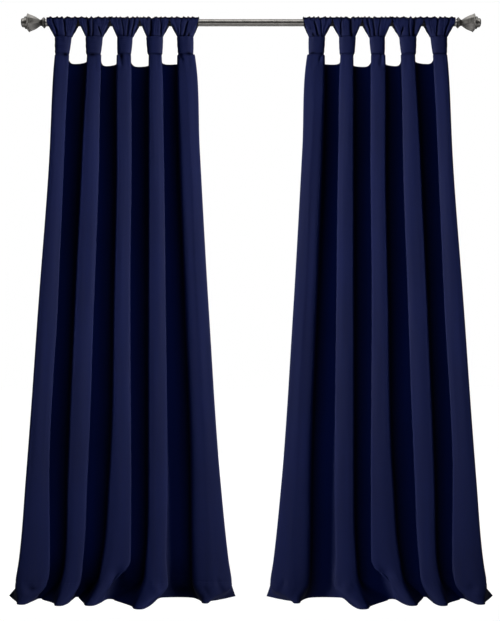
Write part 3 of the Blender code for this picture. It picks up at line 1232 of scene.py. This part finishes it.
TABS = (
    TabSize(-750, -632, -690, 61, -694, 51, (
        Gather(-0.66, 5.5, 3.4, 20, 0.17), Gather(0.07, 6.5, 3.0, 20, 0.19), Gather(-0.28, 0.8, 2.2),
        Gather(0.40, 0.7, 2.0, -4), Gather(0.70, 0.7, 2.2))),
    TabSize(-632, -516, -576, 63, -579, 53, (
        Gather(-0.40, 6.5, 5.4, 20, -0.12), Gather(-0.08, 6.0, 2.5, 20, -0.01),
        Gather(0.34, 5.5, 3.0, -20, 0.84), Gather(-0.74, 0.7, 2.2), Gather(0.60, 0.8, 2.2))),
    TabSize(-516, -407, -463, 57, -466, 50, (
        Gather(-0.27, 4.0, 2.4, 20, 0.18), Gather(0.29, 6.0, 3.2, 20, -0.03),
        Gather(0.64, 5.0, 2.8, 6, 0.08), Gather(-0.66, 1.0, 2.2), Gather(0.02, 0.8, 1.8, -4))),
    TabSize(-407, -298, -354, 62, -353, 54, (
        Gather(-0.20, 6.5, 5.4, 20, -0.18), Gather(0.38, 5.0, 3.0, 12, 0.32), Gather(-0.70, 0.9, 2.2),
        Gather(0.08, 0.6, 2.2), Gather(0.72, 0.8, 2.2))),
    TabSize(-298, -191, -242, 61, -240, 56, (
        Gather(-0.13, 3.4, 2.6, 20, -0.35), Gather(0.27, 6.0, 3.4, 2, -0.49), Gather(0.36, 4.5, 4.0, -42),
        Gather(-0.66, 1.2, 2.4), Gather(0.56, 0.7, 2.0))),
)
KNOT_HEIGHTS = (-0.1155, -0.085, -0.054)
KNOT_DEPTHS = (0.0140, 0.0155, 0.0150)
KNOT_BULGE = 0.0008
KNOT_CLOTH = 0.002


def knot_section(tab: TabSize, z: Array) -> tuple[Array, Array, Array]:
    """Centre, half width and half depth of a knot's outer face at given heights.

    Args:
        tab: The tab whose knot it is.
        z: Heights in metres.

    Returns:
        Three arrays in metres.
    """
    low, high = KNOT_HEIGHTS[0], KNOT_HEIGHTS[-1]
    centres = (tab.bottom_centre, (tab.bottom_centre + tab.top_centre) / 2, tab.top_centre)
    widths = (tab.bottom_width, (tab.bottom_width + tab.top_width) / 2, tab.top_width)
    centre = np.interp(z, KNOT_HEIGHTS, centres) * MM
    half = np.interp(z, KNOT_HEIGHTS, widths) * MM / 2
    half = half + KNOT_BULGE * np.clip(1 - np.abs(2 * (z - low) / (high - low) - 1), 0, 1)
    return centre, half, np.interp(z, KNOT_HEIGHTS, KNOT_DEPTHS)


@dataclass
class Tab:
    """A tab: a wide strip ruffled over the rod and gathered into its knot.

    The middle surface goes up inside the knot's front, over the rod and down its back. Its half width
    follows the tab's outline, and its relief is soft puffs cut by the gathers.
    """

    side: Side
    number: int
    size: TabSize
    finishes: Finishes
    rod_radius: float = 0.0127
    rod_gap: float = 0.0005
    knot_gap: float = 0.0007
    tab_gap: float = 0.0002
    cloth: float = 0.0014
    columns: int = 97
    inside_rows: int = 5
    lip_rows: int = 4
    front_rows: int = 24
    rod_rows: int = 25
    flat_half: float = 0.07
    end_z: float = -0.097
    mouth_z: float = -0.0532
    lip_z: float = -0.0508
    curl: float = math.radians(74)
    curl_height: float = 0.024
    side_tuck: float = 0.0055
    tucked_sides: Span = (0.84, 1.0)
    tuck_start: Span = (-0.050, -0.036)
    tuck_end: Span = (-0.020, -0.008)
    seat: float = 0.0001
    seat_start: Span = (-0.016, -0.010)
    most_sunk: float = 0.02
    ruffles: float = 17.0
    ruffle_share: float = 0.10
    ruffle_height: float = 0.0030
    ruffle_start: Span = (0.0, 0.011)
    wrinkles: float = 41.0
    wrinkle_height: float = 0.0001
    rod_wrinkle_height: float = 0.0005
    wrinkle_start: Span = (-0.050, -0.040)
    slant_length: float = 0.07
    gather_start: Span = (-0.004, 0.004)
    light: float = 0.94
    top_shade: float = 0.92
    top_band: Span = (0.0050, 0.0100)
    gather_shade: float = 0.30
    gather_slimness: float = 1.05
    gather_shade_end: Span = (-0.022, 0.0)
    deepest_shade: float = 0.98
    outline: Profile = (
        (-0.0508, 0.545), (-0.0400, 0.635), (-0.0280, 0.75), (-0.0107, 0.895), (0.0, 0.95), (0.0080, 0.972),
        (0.0127, 1.0))
    swell: Profile = (
        (-0.0532, 0.0), (-0.0505, 0.0016), (-0.030, 0.0040), (-0.0127, 0.0036), (0.0127, 0.0058))
    gather_reach: Profile = (
        (-0.0532, 0.0), (-0.0500, 0.45), (-0.040, 1.0), (-0.026, 1.0), (-0.0127, 0.62), (0.0127, 0.48))

    def path(self) -> tuple[Array, Array, Array]:
        """Follow the tab from its front end over the rod to its back end.

        Returns:
            Depth, height and distance of each row.
        """
        radius = self.rod_radius + self.rod_gap + self.cloth / 2
        stretches = ((self.end_z, self.mouth_z, self.inside_rows), (self.mouth_z, self.lip_z, self.lip_rows),
                     (self.lip_z, 0, self.front_rows))
        rise = np.concatenate([np.linspace(low, high, rows)[:-1] for low, high, rows in stretches])
        turn = np.linspace(0, math.pi, self.rod_rows)
        y = np.concatenate([np.full(len(rise), -radius), -radius * np.cos(turn), np.full(len(rise), radius)])
        z = np.concatenate([rise, radius * np.sin(turn), rise[::-1]])
        return y, z, np.hypot(np.gradient(y), np.gradient(z)).cumsum()

    def relief(self, s: Array, z: Array, half: Array) -> Array:
        """Height of the cloth over its plain form: low puffs and ruffles, less the gathers.

        Args:
            s: Place across the tab from -1 to 1.
            z: Height of each row.
            half: Half width of each row.

        Returns:
            The height at each point.
        """
        n = self.number
        ruffle = 0.5 + 0.5 * np.sin(self.ruffles * s + 1.9 * n + 1.1 * np.sin(5 * s + n))
        above = ease(z, *self.ruffle_start)
        height = read_profile(self.swell, z) * (1 - self.ruffle_share * (1 - ruffle))
        height += self.ruffle_height * above * (ruffle**2 - 0.3)
        wrinkle = (self.wrinkle_height + self.rod_wrinkle_height * above) * ease(z, *self.wrinkle_start)
        height += wrinkle * np.sin(self.wrinkles * s + 2.0 * n + 30 * z)
        reach = read_profile(self.gather_reach, z)
        for gather in self.size.gathers:
            height -= gather.depth * MM * reach * self.nearness(gather, s, z, half)
        return height

    def nearness(self, gather: Gather, s: Array, z: Array, half: Array) -> Array:
        """How near each point lies to a gather's line, from 0 to 1.

        Args:
            gather: The gather.
            s: Place across the tab from -1 to 1.
            z: Height of each row.
            half: Half width of each row.

        Returns:
            The nearness of each point.
        """
        below = gather.start * MM - z
        centre = gather.place + gather.slant * np.clip(below / self.slant_length, 0, 1)
        return ease(below, *self.gather_start) * bell((s - centre) * half, gather.width * MM)

    def mask(self, s: Array, z: Array, half: Array) -> Array:
        """Light left on the tab: little in its deep gathers and on its upper edge.

        Args:
            s: Place across the tab from -1 to 1.
            z: Height of each row.
            half: Half width of each row.

        Returns:
            A share from 0 to 1 for each point.
        """
        left = (self.light - self.top_shade * ease(z, *self.top_band)) * np.ones_like(s)
        for gather in self.size.gathers:
            lost = min(self.deepest_shade, self.gather_shade * max(gather.depth - 1, 0))
            near = self.nearness(gather, s, z, half * self.gather_slimness)
            left = left * (1 - lost * near * ease(-z, *self.gather_shade_end))
        return left

    def surface(self) -> tuple[Array, Array, Array]:
        """Lay out the tab's middle surface.

        In the knot it is a flattened tube, which opens above the mouth to a plain strip over the rod. Its
        side edges are tucked back a little, and on the rod it never sinks below its seat.

        Returns:
            The points, their flat positions and the light left on them.
        """
        size = self.size
        y, z, run = self.path()
        s = np.linspace(-1, 1, self.columns)[None, :]
        depth_y, level = y[:, None], z[:, None]
        knot_centre, knot_half, knot_depth = knot_section(size, np.minimum(level, 0.0))
        rod_centre = (size.rod_left + size.rod_right) / 2 * MM
        rod_half = (size.rod_right - size.rod_left) / 2 * MM - self.tab_gap
        outside = ease(level, self.mouth_z, self.lip_z)
        inset = KNOT_CLOTH + self.knot_gap + self.cloth / 2
        inside_half = (knot_half - inset) * math.sin(self.curl)
        half = (1 - outside) * inside_half + outside * rod_half * read_profile(self.outline, level)
        centre = knot_centre + (rod_centre - knot_centre) * ease(level, self.lip_z, 0.0)
        bend = 1 - ease(level, self.lip_z, self.lip_z + self.curl_height)
        angle = s * self.curl
        x = centre + half * (bend * np.sin(angle) / math.sin(self.curl) + (1 - bend) * s)
        sign = np.where(depth_y < 0, -1.0, 1.0)
        shell = sign * (knot_depth - (1 - outside) * inset) * np.cos(angle)
        up = np.maximum(level, 0.0)
        reach = np.hypot(depth_y, up)
        lift = self.relief(s, level, half)
        on_rod = ease(level, *self.seat_start)
        seated = np.maximum(lift, -self.seat * on_rod - self.most_sunk * (1 - on_rod))
        lift = np.where(on_rod > 0, seated, lift)
        edge = self.side_tuck * ease(np.abs(s), *self.tucked_sides)
        tuck = sign * edge * ease(level, *self.tuck_start) * (1 - ease(level, *self.tuck_end))
        y = bend * shell + (1 - bend) * depth_y + depth_y / reach * lift * outside - tuck
        grid = np.stack([x, y, level + up / reach * lift], axis=2)
        flat = np.stack(np.broadcast_arrays(s * self.flat_half, run[:, None]), axis=2)
        return grid, flat, self.mask(s, level, half)

    def build(self) -> Piece:
        """Make the tab as a closed sheet that stands for its node.

        Returns:
            The tab.
        """
        grid, flat, mask = self.surface()
        points, quads, uv = Cloth(grid * np.array((self.side.value, 1, 1)), self.cloth, flat).solid()
        name = f"tab_{self.side.label}_{self.number}"
        mask = np.tile(mask.ravel(), 2)
        item = add_piece(f"{name}_cloth", points, quads, self.finishes.tab, uv, mask, sharp=60)
        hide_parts(name)
        return item


@dataclass
class Knot:
    """A knot: a soft sleeve of cloth wrapped round the gathered tab, with rolled lips and faint folds."""

    side: Side
    number: int
    size: TabSize
    finishes: Finishes
    around: int = 88
    wall_steps: int = 34
    lip_steps: int = 7
    squareness: float = 0.80
    flutes: int = 9
    flute_height: float = 0.0007
    flute_reach: float = 0.026
    flute_end: float = 0.002
    wrap_pitch: float = 0.023
    wrap_height: float = 0.00020
    wrinkle_pitch: float = 0.0072
    wrinkle_height: float = 0.00008
    calm_low: float = 0.004
    calm_high: float = 0.003
    drawn_in: float = 0.0003
    drawn_height: float = 0.006
    roll_height: float = 0.0004
    roll_place: float = 0.009
    roll_width: float = 0.004
    flat_radius: float = 0.022
    light: float = 0.88
    lip_shade: float = 0.2
    lip_band: Span = (0.0008, 0.0042)

    def build(self) -> Piece:
        """Make the knot.

        Its section goes up outside, over a round lip, down inside and round the lower lip, and is carried
        round a flattened circle.

        Returns:
            The knot.
        """
        low, high = KNOT_HEIGHTS[0], KNOT_HEIGHTS[-1]
        radius = KNOT_CLOTH / 2
        bottom, top = low + radius, high - radius
        wall = np.linspace(bottom, top, self.wall_steps)
        lip = np.linspace(0, math.pi, self.lip_steps)[1:-1]
        rise = radius * np.sin(lip)
        height = np.concatenate([wall, top + rise, wall[::-1], bottom - rise])
        inset = np.concatenate([np.zeros(self.wall_steps), radius - radius * np.cos(lip),
                                np.full(self.wall_steps, KNOT_CLOTH), radius + radius * np.cos(lip)])
        theta = np.linspace(0, 2 * math.pi, self.around, endpoint=False)[None, :]
        z, inset = height[:, None], inset[:, None]
        centre, half, depth = knot_section(self.size, z)
        out = (1 - inset / KNOT_CLOTH) * self.folds(theta, z) - inset
        cosine, sine = np.cos(theta), np.sin(theta)
        x = centre + (half + out) * np.sign(cosine) * np.abs(cosine) ** self.squareness
        y = (depth + out) * np.sign(sine) * np.abs(sine) ** self.squareness
        grid = np.stack(np.broadcast_arrays(x, y, z), axis=2)
        lip_share = 1 - ease(z - low, *self.lip_band)
        mask = self.light * shaded(grid, KNOT_HOLLOWS) * (1 - self.lip_shade * lip_share)
        points = (grid * np.array((self.side.value, 1, 1))).reshape(-1, 3)
        quads = grid_quads(*grid.shape[:2], wrap_rows=True, wrap_columns=True)
        flat = np.stack(np.broadcast_arrays(theta * self.flat_radius, z), axis=2).reshape(-1, 2)
        name = f"knot_{self.side.label}_{self.number}"
        item = add_piece(f"{name}_cloth", points, quads, self.finishes.knot, flat, mask.ravel())
        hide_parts(name)
        return item

    def folds(self, theta: Array, z: Array) -> Array:
        """Relief of the sleeve: flutes that fade below its top, slanted wraps and a drawn-in lower edge.

        Args:
            theta: Angle round the knot.
            z: Height of each row.

        Returns:
            The height at each point.
        """
        low, high = KNOT_HEIGHTS[0], KNOT_HEIGHTS[-1]
        n = self.number
        gathered = ease(z, high - self.flute_reach, high) * (1 - ease(z, high - self.flute_end, high))
        flutes = np.sin(self.flutes * theta + 1.3 * n) * (0.7 + 0.3 * np.sin(4 * theta + n))
        wraps = np.sin(2 * np.pi * z / self.wrap_pitch + 1.6 * np.sin(theta + n) + 0.8 * n)
        wrinkles = np.sin(2 * np.pi * z / self.wrinkle_pitch + 3 * theta + n)
        calm = ease(z, low, low + self.calm_low) * (1 - ease(z, high - self.calm_high, high))
        drawn = -self.drawn_in * (1 - ease(z, low, low + self.drawn_height))
        roll = self.roll_height * bell(z - low - self.roll_place, self.roll_width)
        cloth = (self.wrap_height * wraps + self.wrinkle_height * wrinkles) * calm
        return self.flute_height * flutes * gathered + cloth + drawn + roll


# Metal


@dataclass
class Finial:
    """A finial turned about the rod's axis: bead, neck, eight-sided bell with a pointed rim, flange, button.

    Each ring has its place past the rod's end, its radius, how eight-sided it is and the light painted on
    it: painted shade below 1, painted highlight above 1.
    """

    side: Side
    finishes: Finishes
    rod_end: float = 0.7548
    around: int = 96
    sides: int = 8
    turn: float = math.radians(7.5)
    crown: float = 0.0004
    rim_place: float = 0.0626
    rim_width: float = 0.0030
    light_limits: Span = (0.3, 1.15)
    rings: tuple[tuple[float, float, float, float], ...] = (
        (-0.0240, 0.0104, 0.0, 0.5), (-0.0238, 0.0111, 0.0, 0.5), (0.0003, 0.0111, 0.0, 0.5),
        (0.0003, 0.0140, 0.0, 0.6), (0.0012, 0.0154, 0.0, 0.6), (0.0040, 0.0186, 0.0, 0.7),
        (0.0056, 0.0195, 0.0, 0.8), (0.0066, 0.0194, 0.0, 0.7), (0.0100, 0.0160, 0.0, 0.45),
        (0.0134, 0.0125, 0.0, 0.3), (0.0150, 0.0115, 0.0, 0.3), (0.0162, 0.0111, 0.2, 0.3),
        (0.0176, 0.0106, 0.4, 0.3), (0.0190, 0.0109, 0.8, 0.35), (0.0224, 0.0127, 1.0, 0.5),
        (0.0256, 0.0149, 1.0, 0.6), (0.0290, 0.0172, 1.0, 0.72), (0.0356, 0.0213, 1.0, 0.9),
        (0.0420, 0.0244, 1.0, 1.05), (0.0485, 0.0270, 1.0, 1.1), (0.0540, 0.0289, 1.0, 1.1),
        (0.0580, 0.0303, 1.0, 1.0), (0.0600, 0.0316, 1.0, 0.9), (0.0618, 0.0329, 1.0, 1.1),
        (0.0634, 0.0331, 1.0, 1.1), (0.0646, 0.0318, 1.0, 0.6), (0.0650, 0.0285, 1.0, 0.4),
        (0.0652, 0.0240, 0.5, 0.35), (0.0656, 0.0215, 0.0, 0.35), (0.0664, 0.0220, 0.0, 0.5),
        (0.0690, 0.0222, 0.0, 0.6), (0.0740, 0.0221, 0.0, 0.6), (0.0752, 0.0215, 0.0, 0.5),
        (0.0757, 0.0190, 0.0, 0.4), (0.0758, 0.0166, 0.0, 0.35), (0.0766, 0.0163, 0.0, 0.7),
        (0.0800, 0.0166, 0.0, 1.0), (0.0846, 0.0160, 0.0, 1.0), (0.0868, 0.0144, 0.0, 1.0),
        (0.0880, 0.0118, 0.0, 0.9), (0.0872, 0.0094, 0.0, 0.6), (0.0858, 0.0073, 0.0, 0.6),
        (0.0862, 0.0046, 0.0, 0.9), (0.0870, 0.0019, 0.0, 1.1),
    )

    def build(self) -> Piece:
        """Make the finial as one closed turning.

        The radius at an angle blends from round to an octagon whose flats face the quarters; the rim's
        corners reach further out than its flats.

        Returns:
            The finial.
        """
        table = np.array(self.rings)
        fine = soft_curve(table, 2 * len(table) - 1)
        along, radius, facets, light = (fine[:, k][:, None] for k in range(4))
        theta = np.linspace(0, 2 * math.pi, self.around, endpoint=False)[None, :] + self.turn
        facet = 2 * math.pi / self.sides
        from_flat = (theta + facet / 2) % facet - facet / 2
        facets = np.clip(facets, 0, 1)
        turned = radius * (1 - facets + facets * math.cos(facet / 2) / np.cos(from_flat))
        corner = (np.abs(from_flat) / (facet / 2)) ** 2
        crown = self.crown * bell(along - self.rim_place, self.rim_width) * (corner - 0.3)
        x = -(self.rod_end + along + crown) * self.side.value
        grid = np.stack(np.broadcast_arrays(x, turned * np.cos(theta), turned * np.sin(theta)), axis=2)
        rows = grid.shape[0]
        first, last = self.cap(0), self.cap((rows - 1) * self.around)
        quads = np.concatenate([grid_quads(rows, self.around, wrap_columns=True), first[:, ::-1], last])
        # Painted shade on the neck, flange and bead and a painted highlight on the rim, from the light
        # column.
        mask = np.clip(np.broadcast_to(light, grid.shape[:2]), *self.light_limits).ravel()
        points = grid.reshape(-1, 3)
        name = f"finial_{self.side.label}"
        item = add_piece(f"{name}_metal", points, quads, self.finishes.finial, mask=mask, sharp=28)
        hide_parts(name)
        return item

    def cap(self, start: int) -> Array:
        """Close a ring with quads laid across it.

        Args:
            start: Number of the ring's first point.

        Returns:
            The quads.
        """
        k = np.arange(self.around // 2 - 1)
        far = self.around - 1 - k
        return start + np.stack([k, k + 1, far - 1, far], axis=1)


# Studio


@dataclass(frozen=True)
class Lamp:
    """A soft area light, hidden from the camera, that may be meant for some of the pieces alone."""

    name: str
    place: tuple[float, float, float]
    aim: tuple[float, float, float]
    size: tuple[float, float]
    power: float
    spread: float = 180.0
    lit: str = ""
    gleam: bool = True

    def build(self, pieces: dict[str, Collection]) -> Piece:
        """Add the light to the scene.

        Args:
            pieces: Collections of pieces that a light may be meant for.

        Returns:
            The light.
        """
        data = bpy.data.lights.new(self.name, "AREA")
        data.shape = "RECTANGLE"
        data.size, data.size_y = self.size
        data.energy = self.power
        data.spread = math.radians(self.spread)
        item = bpy.data.objects.new(self.name, data)
        item.location = self.place
        item.rotation_euler = (Vector(self.aim) - Vector(self.place)).to_track_quat("-Z", "Y").to_euler()
        item.visible_camera = False
        item.visible_glossy = self.gleam
        if self.lit:
            item.light_linking.receiver_collection = pieces[self.lit]
        bpy.context.scene.collection.objects.link(item)
        return item


@dataclass
class Studio:
    """Plain floor, pale surroundings, soft lights and the camera of the photograph."""

    camera_place: tuple[float, float, float] = (-0.0037, -3.25, -1.0573)
    lens: float = 51.27
    floor_z: float = -2.142
    floor_reach: float = 9.0
    floor_colour: Colour = (0.85, 0.85, 0.85)
    floor_roughness: float = 0.8
    floor_glow: float = 1.14
    floor_glow_share: float = 0.88
    surroundings: tuple[tuple[Colour, float], ...] = (
        ((1.0, 1.0, 1.0), 1.0), ((0.95, 0.97, 1.0), 0.05), ((1.0, 0.98, 0.95), 0.01))
    lamps: tuple[Lamp, ...] = (
        Lamp("key_for_left", (7.0, -4.6, -0.40), (-0.48, 0.0, -0.40), (1.10, 2.2), 45.0, 42.0, "left"),
        Lamp("key_for_right", (-7.0, -4.6, -0.40), (0.48, 0.0, -0.40), (1.10, 2.2), 45.0, 42.0, "right"),
        Lamp("fill_for_left", (1.3, -3.2, -0.40), (-0.48, 0.0, -0.80), (2.0, 1.6), 50.0,
             lit="left", gleam=False),
        Lamp("fill_for_right", (-1.3, -3.2, -0.40), (0.48, 0.0, -0.80), (2.0, 1.6), 50.0,
             lit="right", gleam=False),
        Lamp("metal_above", (0.0, 0.35, 2.2), (0.0, 0.0, 0.0), (4.0, 1.2), 14.0, lit="metal"),
        Lamp("metal_high", (0.0, -1.4, 1.9), (0.0, 0.0, 0.0), (4.0, 1.1), 25.0, lit="metal"),
        Lamp("metal_low", (0.0, -1.1, -1.9), (0.0, 0.0, 0.0), (4.0, 2.2), 15.0, lit="metal"),
        Lamp("metal_left", (-1.7, -1.8, 0.9), (0.8, 0.0, 0.0), (1.4, 1.4), 2.6, lit="metal"),
        Lamp("metal_right", (1.7, -1.8, 0.9), (-0.8, 0.0, 0.0), (1.4, 1.4), 2.6, lit="metal"),
        Lamp("rear_fill", (0.0, 3.4, -1.0), (0.0, 0.0, -1.0), (2.4, 2.4), 70.0, gleam=False),
    )

    def build(self, pieces: dict[str, Collection]) -> None:
        """Set up floor, surroundings, lights and camera.

        Args:
            pieces: Collections of pieces that a light may be meant for.
        """
        self.floor()
        self.world()
        for lamp in self.lamps:
            lamp.build(pieces)
        data = bpy.data.cameras.new("camera")
        data.lens = self.lens
        camera = bpy.data.objects.new("camera", data)
        camera.location = self.camera_place
        camera.rotation_euler = (math.radians(90), 0.0, 0.0)
        bpy.context.scene.collection.objects.link(camera)
        bpy.context.scene.camera = camera
        bpy.context.scene.view_settings.view_transform = "Standard"

    def floor(self) -> None:
        """Lay a pale floor that nearly matches the white around it."""
        mesh = bpy.data.meshes.new("floor")
        reach, z = self.floor_reach, self.floor_z
        mesh.from_pydata([(-reach, -reach, z), (reach, -reach, z), (reach, reach, z), (-reach, reach, z)],
                         [], [(0, 1, 2, 3)])
        material, tree, shader = start_material("pale_floor")
        shader.inputs["Base Color"].default_value = (*self.floor_colour, 1.0)
        shader.inputs["Roughness"].default_value = self.floor_roughness
        shader.inputs["Specular IOR Level"].default_value = 0.0
        glow = tree.nodes.new("ShaderNodeEmission")
        glow.inputs["Strength"].default_value = self.floor_glow
        path = tree.nodes.new("ShaderNodeLightPath")
        share = add_math(tree, "MULTIPLY", path.outputs["Is Camera Ray"], self.floor_glow_share)
        mixed = self.mix(tree, share, shader.outputs[0], glow.outputs[0])
        tree.links.new(mixed, tree.nodes["Material Output"].inputs["Surface"])
        mesh.materials.append(material)
        floor = bpy.data.objects.new("floor", mesh)
        bpy.context.scene.collection.objects.link(floor)

    def world(self) -> None:
        """White behind the object, dim for the light it gives and dimmer still in reflections."""
        world = bpy.data.worlds.new("studio")
        bpy.context.scene.world = world
        world.use_nodes = True
        tree = world.node_tree
        tree.nodes.clear()
        path = tree.nodes.new("ShaderNodeLightPath")
        shades = []
        for colour, strength in self.surroundings:
            shade = tree.nodes.new("ShaderNodeBackground")
            shade.inputs[0].default_value = (*colour, 1.0)
            shade.inputs[1].default_value = strength
            shades.append(shade.outputs[0])
        seen, given, reflected = shades
        unseen = self.mix(tree, path.outputs["Is Glossy Ray"], given, reflected)
        output = tree.nodes.new("ShaderNodeOutputWorld")
        tree.links.new(self.mix(tree, path.outputs["Is Camera Ray"], unseen, seen), output.inputs["Surface"])

    @staticmethod
    def mix(tree: Tree, share: Socket, first: Socket, second: Socket) -> Socket:
        """Mix two shaders.

        Args:
            tree: Node tree to add the mix to.
            share: Share of the second shader.
            first: First shader.
            second: Second shader.

        Returns:
            Socket with the mixed shader.
        """
        node = tree.nodes.new("ShaderNodeMixShader")
        for socket, value in zip(node.inputs, (share, first, second)):
            tree.links.new(value, socket)
        return node.outputs[0]


def main() -> None:
    """Build the dressed model piece by piece and report each piece."""
    logging.basicConfig(level=logging.INFO, format="%(message)s")
    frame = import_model()
    finishes = Finishes.make()
    pole = frame["nodes"]["pole"]
    pole.data.materials.clear()
    pole.data.materials.append(finishes.pole)
    pieces = {name: bpy.data.collections.new(f"{name}_pieces") for name in ("left", "right", "metal")}
    pieces["metal"].objects.link(pole)
    for side in Side:
        panel = Panel(side, finishes)
        cloth = panel.build()
        stitches = Stitching(panel).build()
        knots = [Knot(side, number, size, finishes).build() for number, size in enumerate(TABS, start=1)]
        tabs = [Tab(side, number, size, finishes).build() for number, size in enumerate(TABS, start=1)]
        finial = Finial(side, finishes).build()
        pieces["metal"].objects.link(finial)
        for item in (cloth, stitches, *knots, *tabs):
            pieces[side.label].objects.link(item)
        for item in (cloth, stitches, *knots, *tabs, finial):
            LOG.info("%s: %d points", item.name, len(item.data.vertices))
    Studio().build(pieces)


if __name__ == "__main__":
    main()
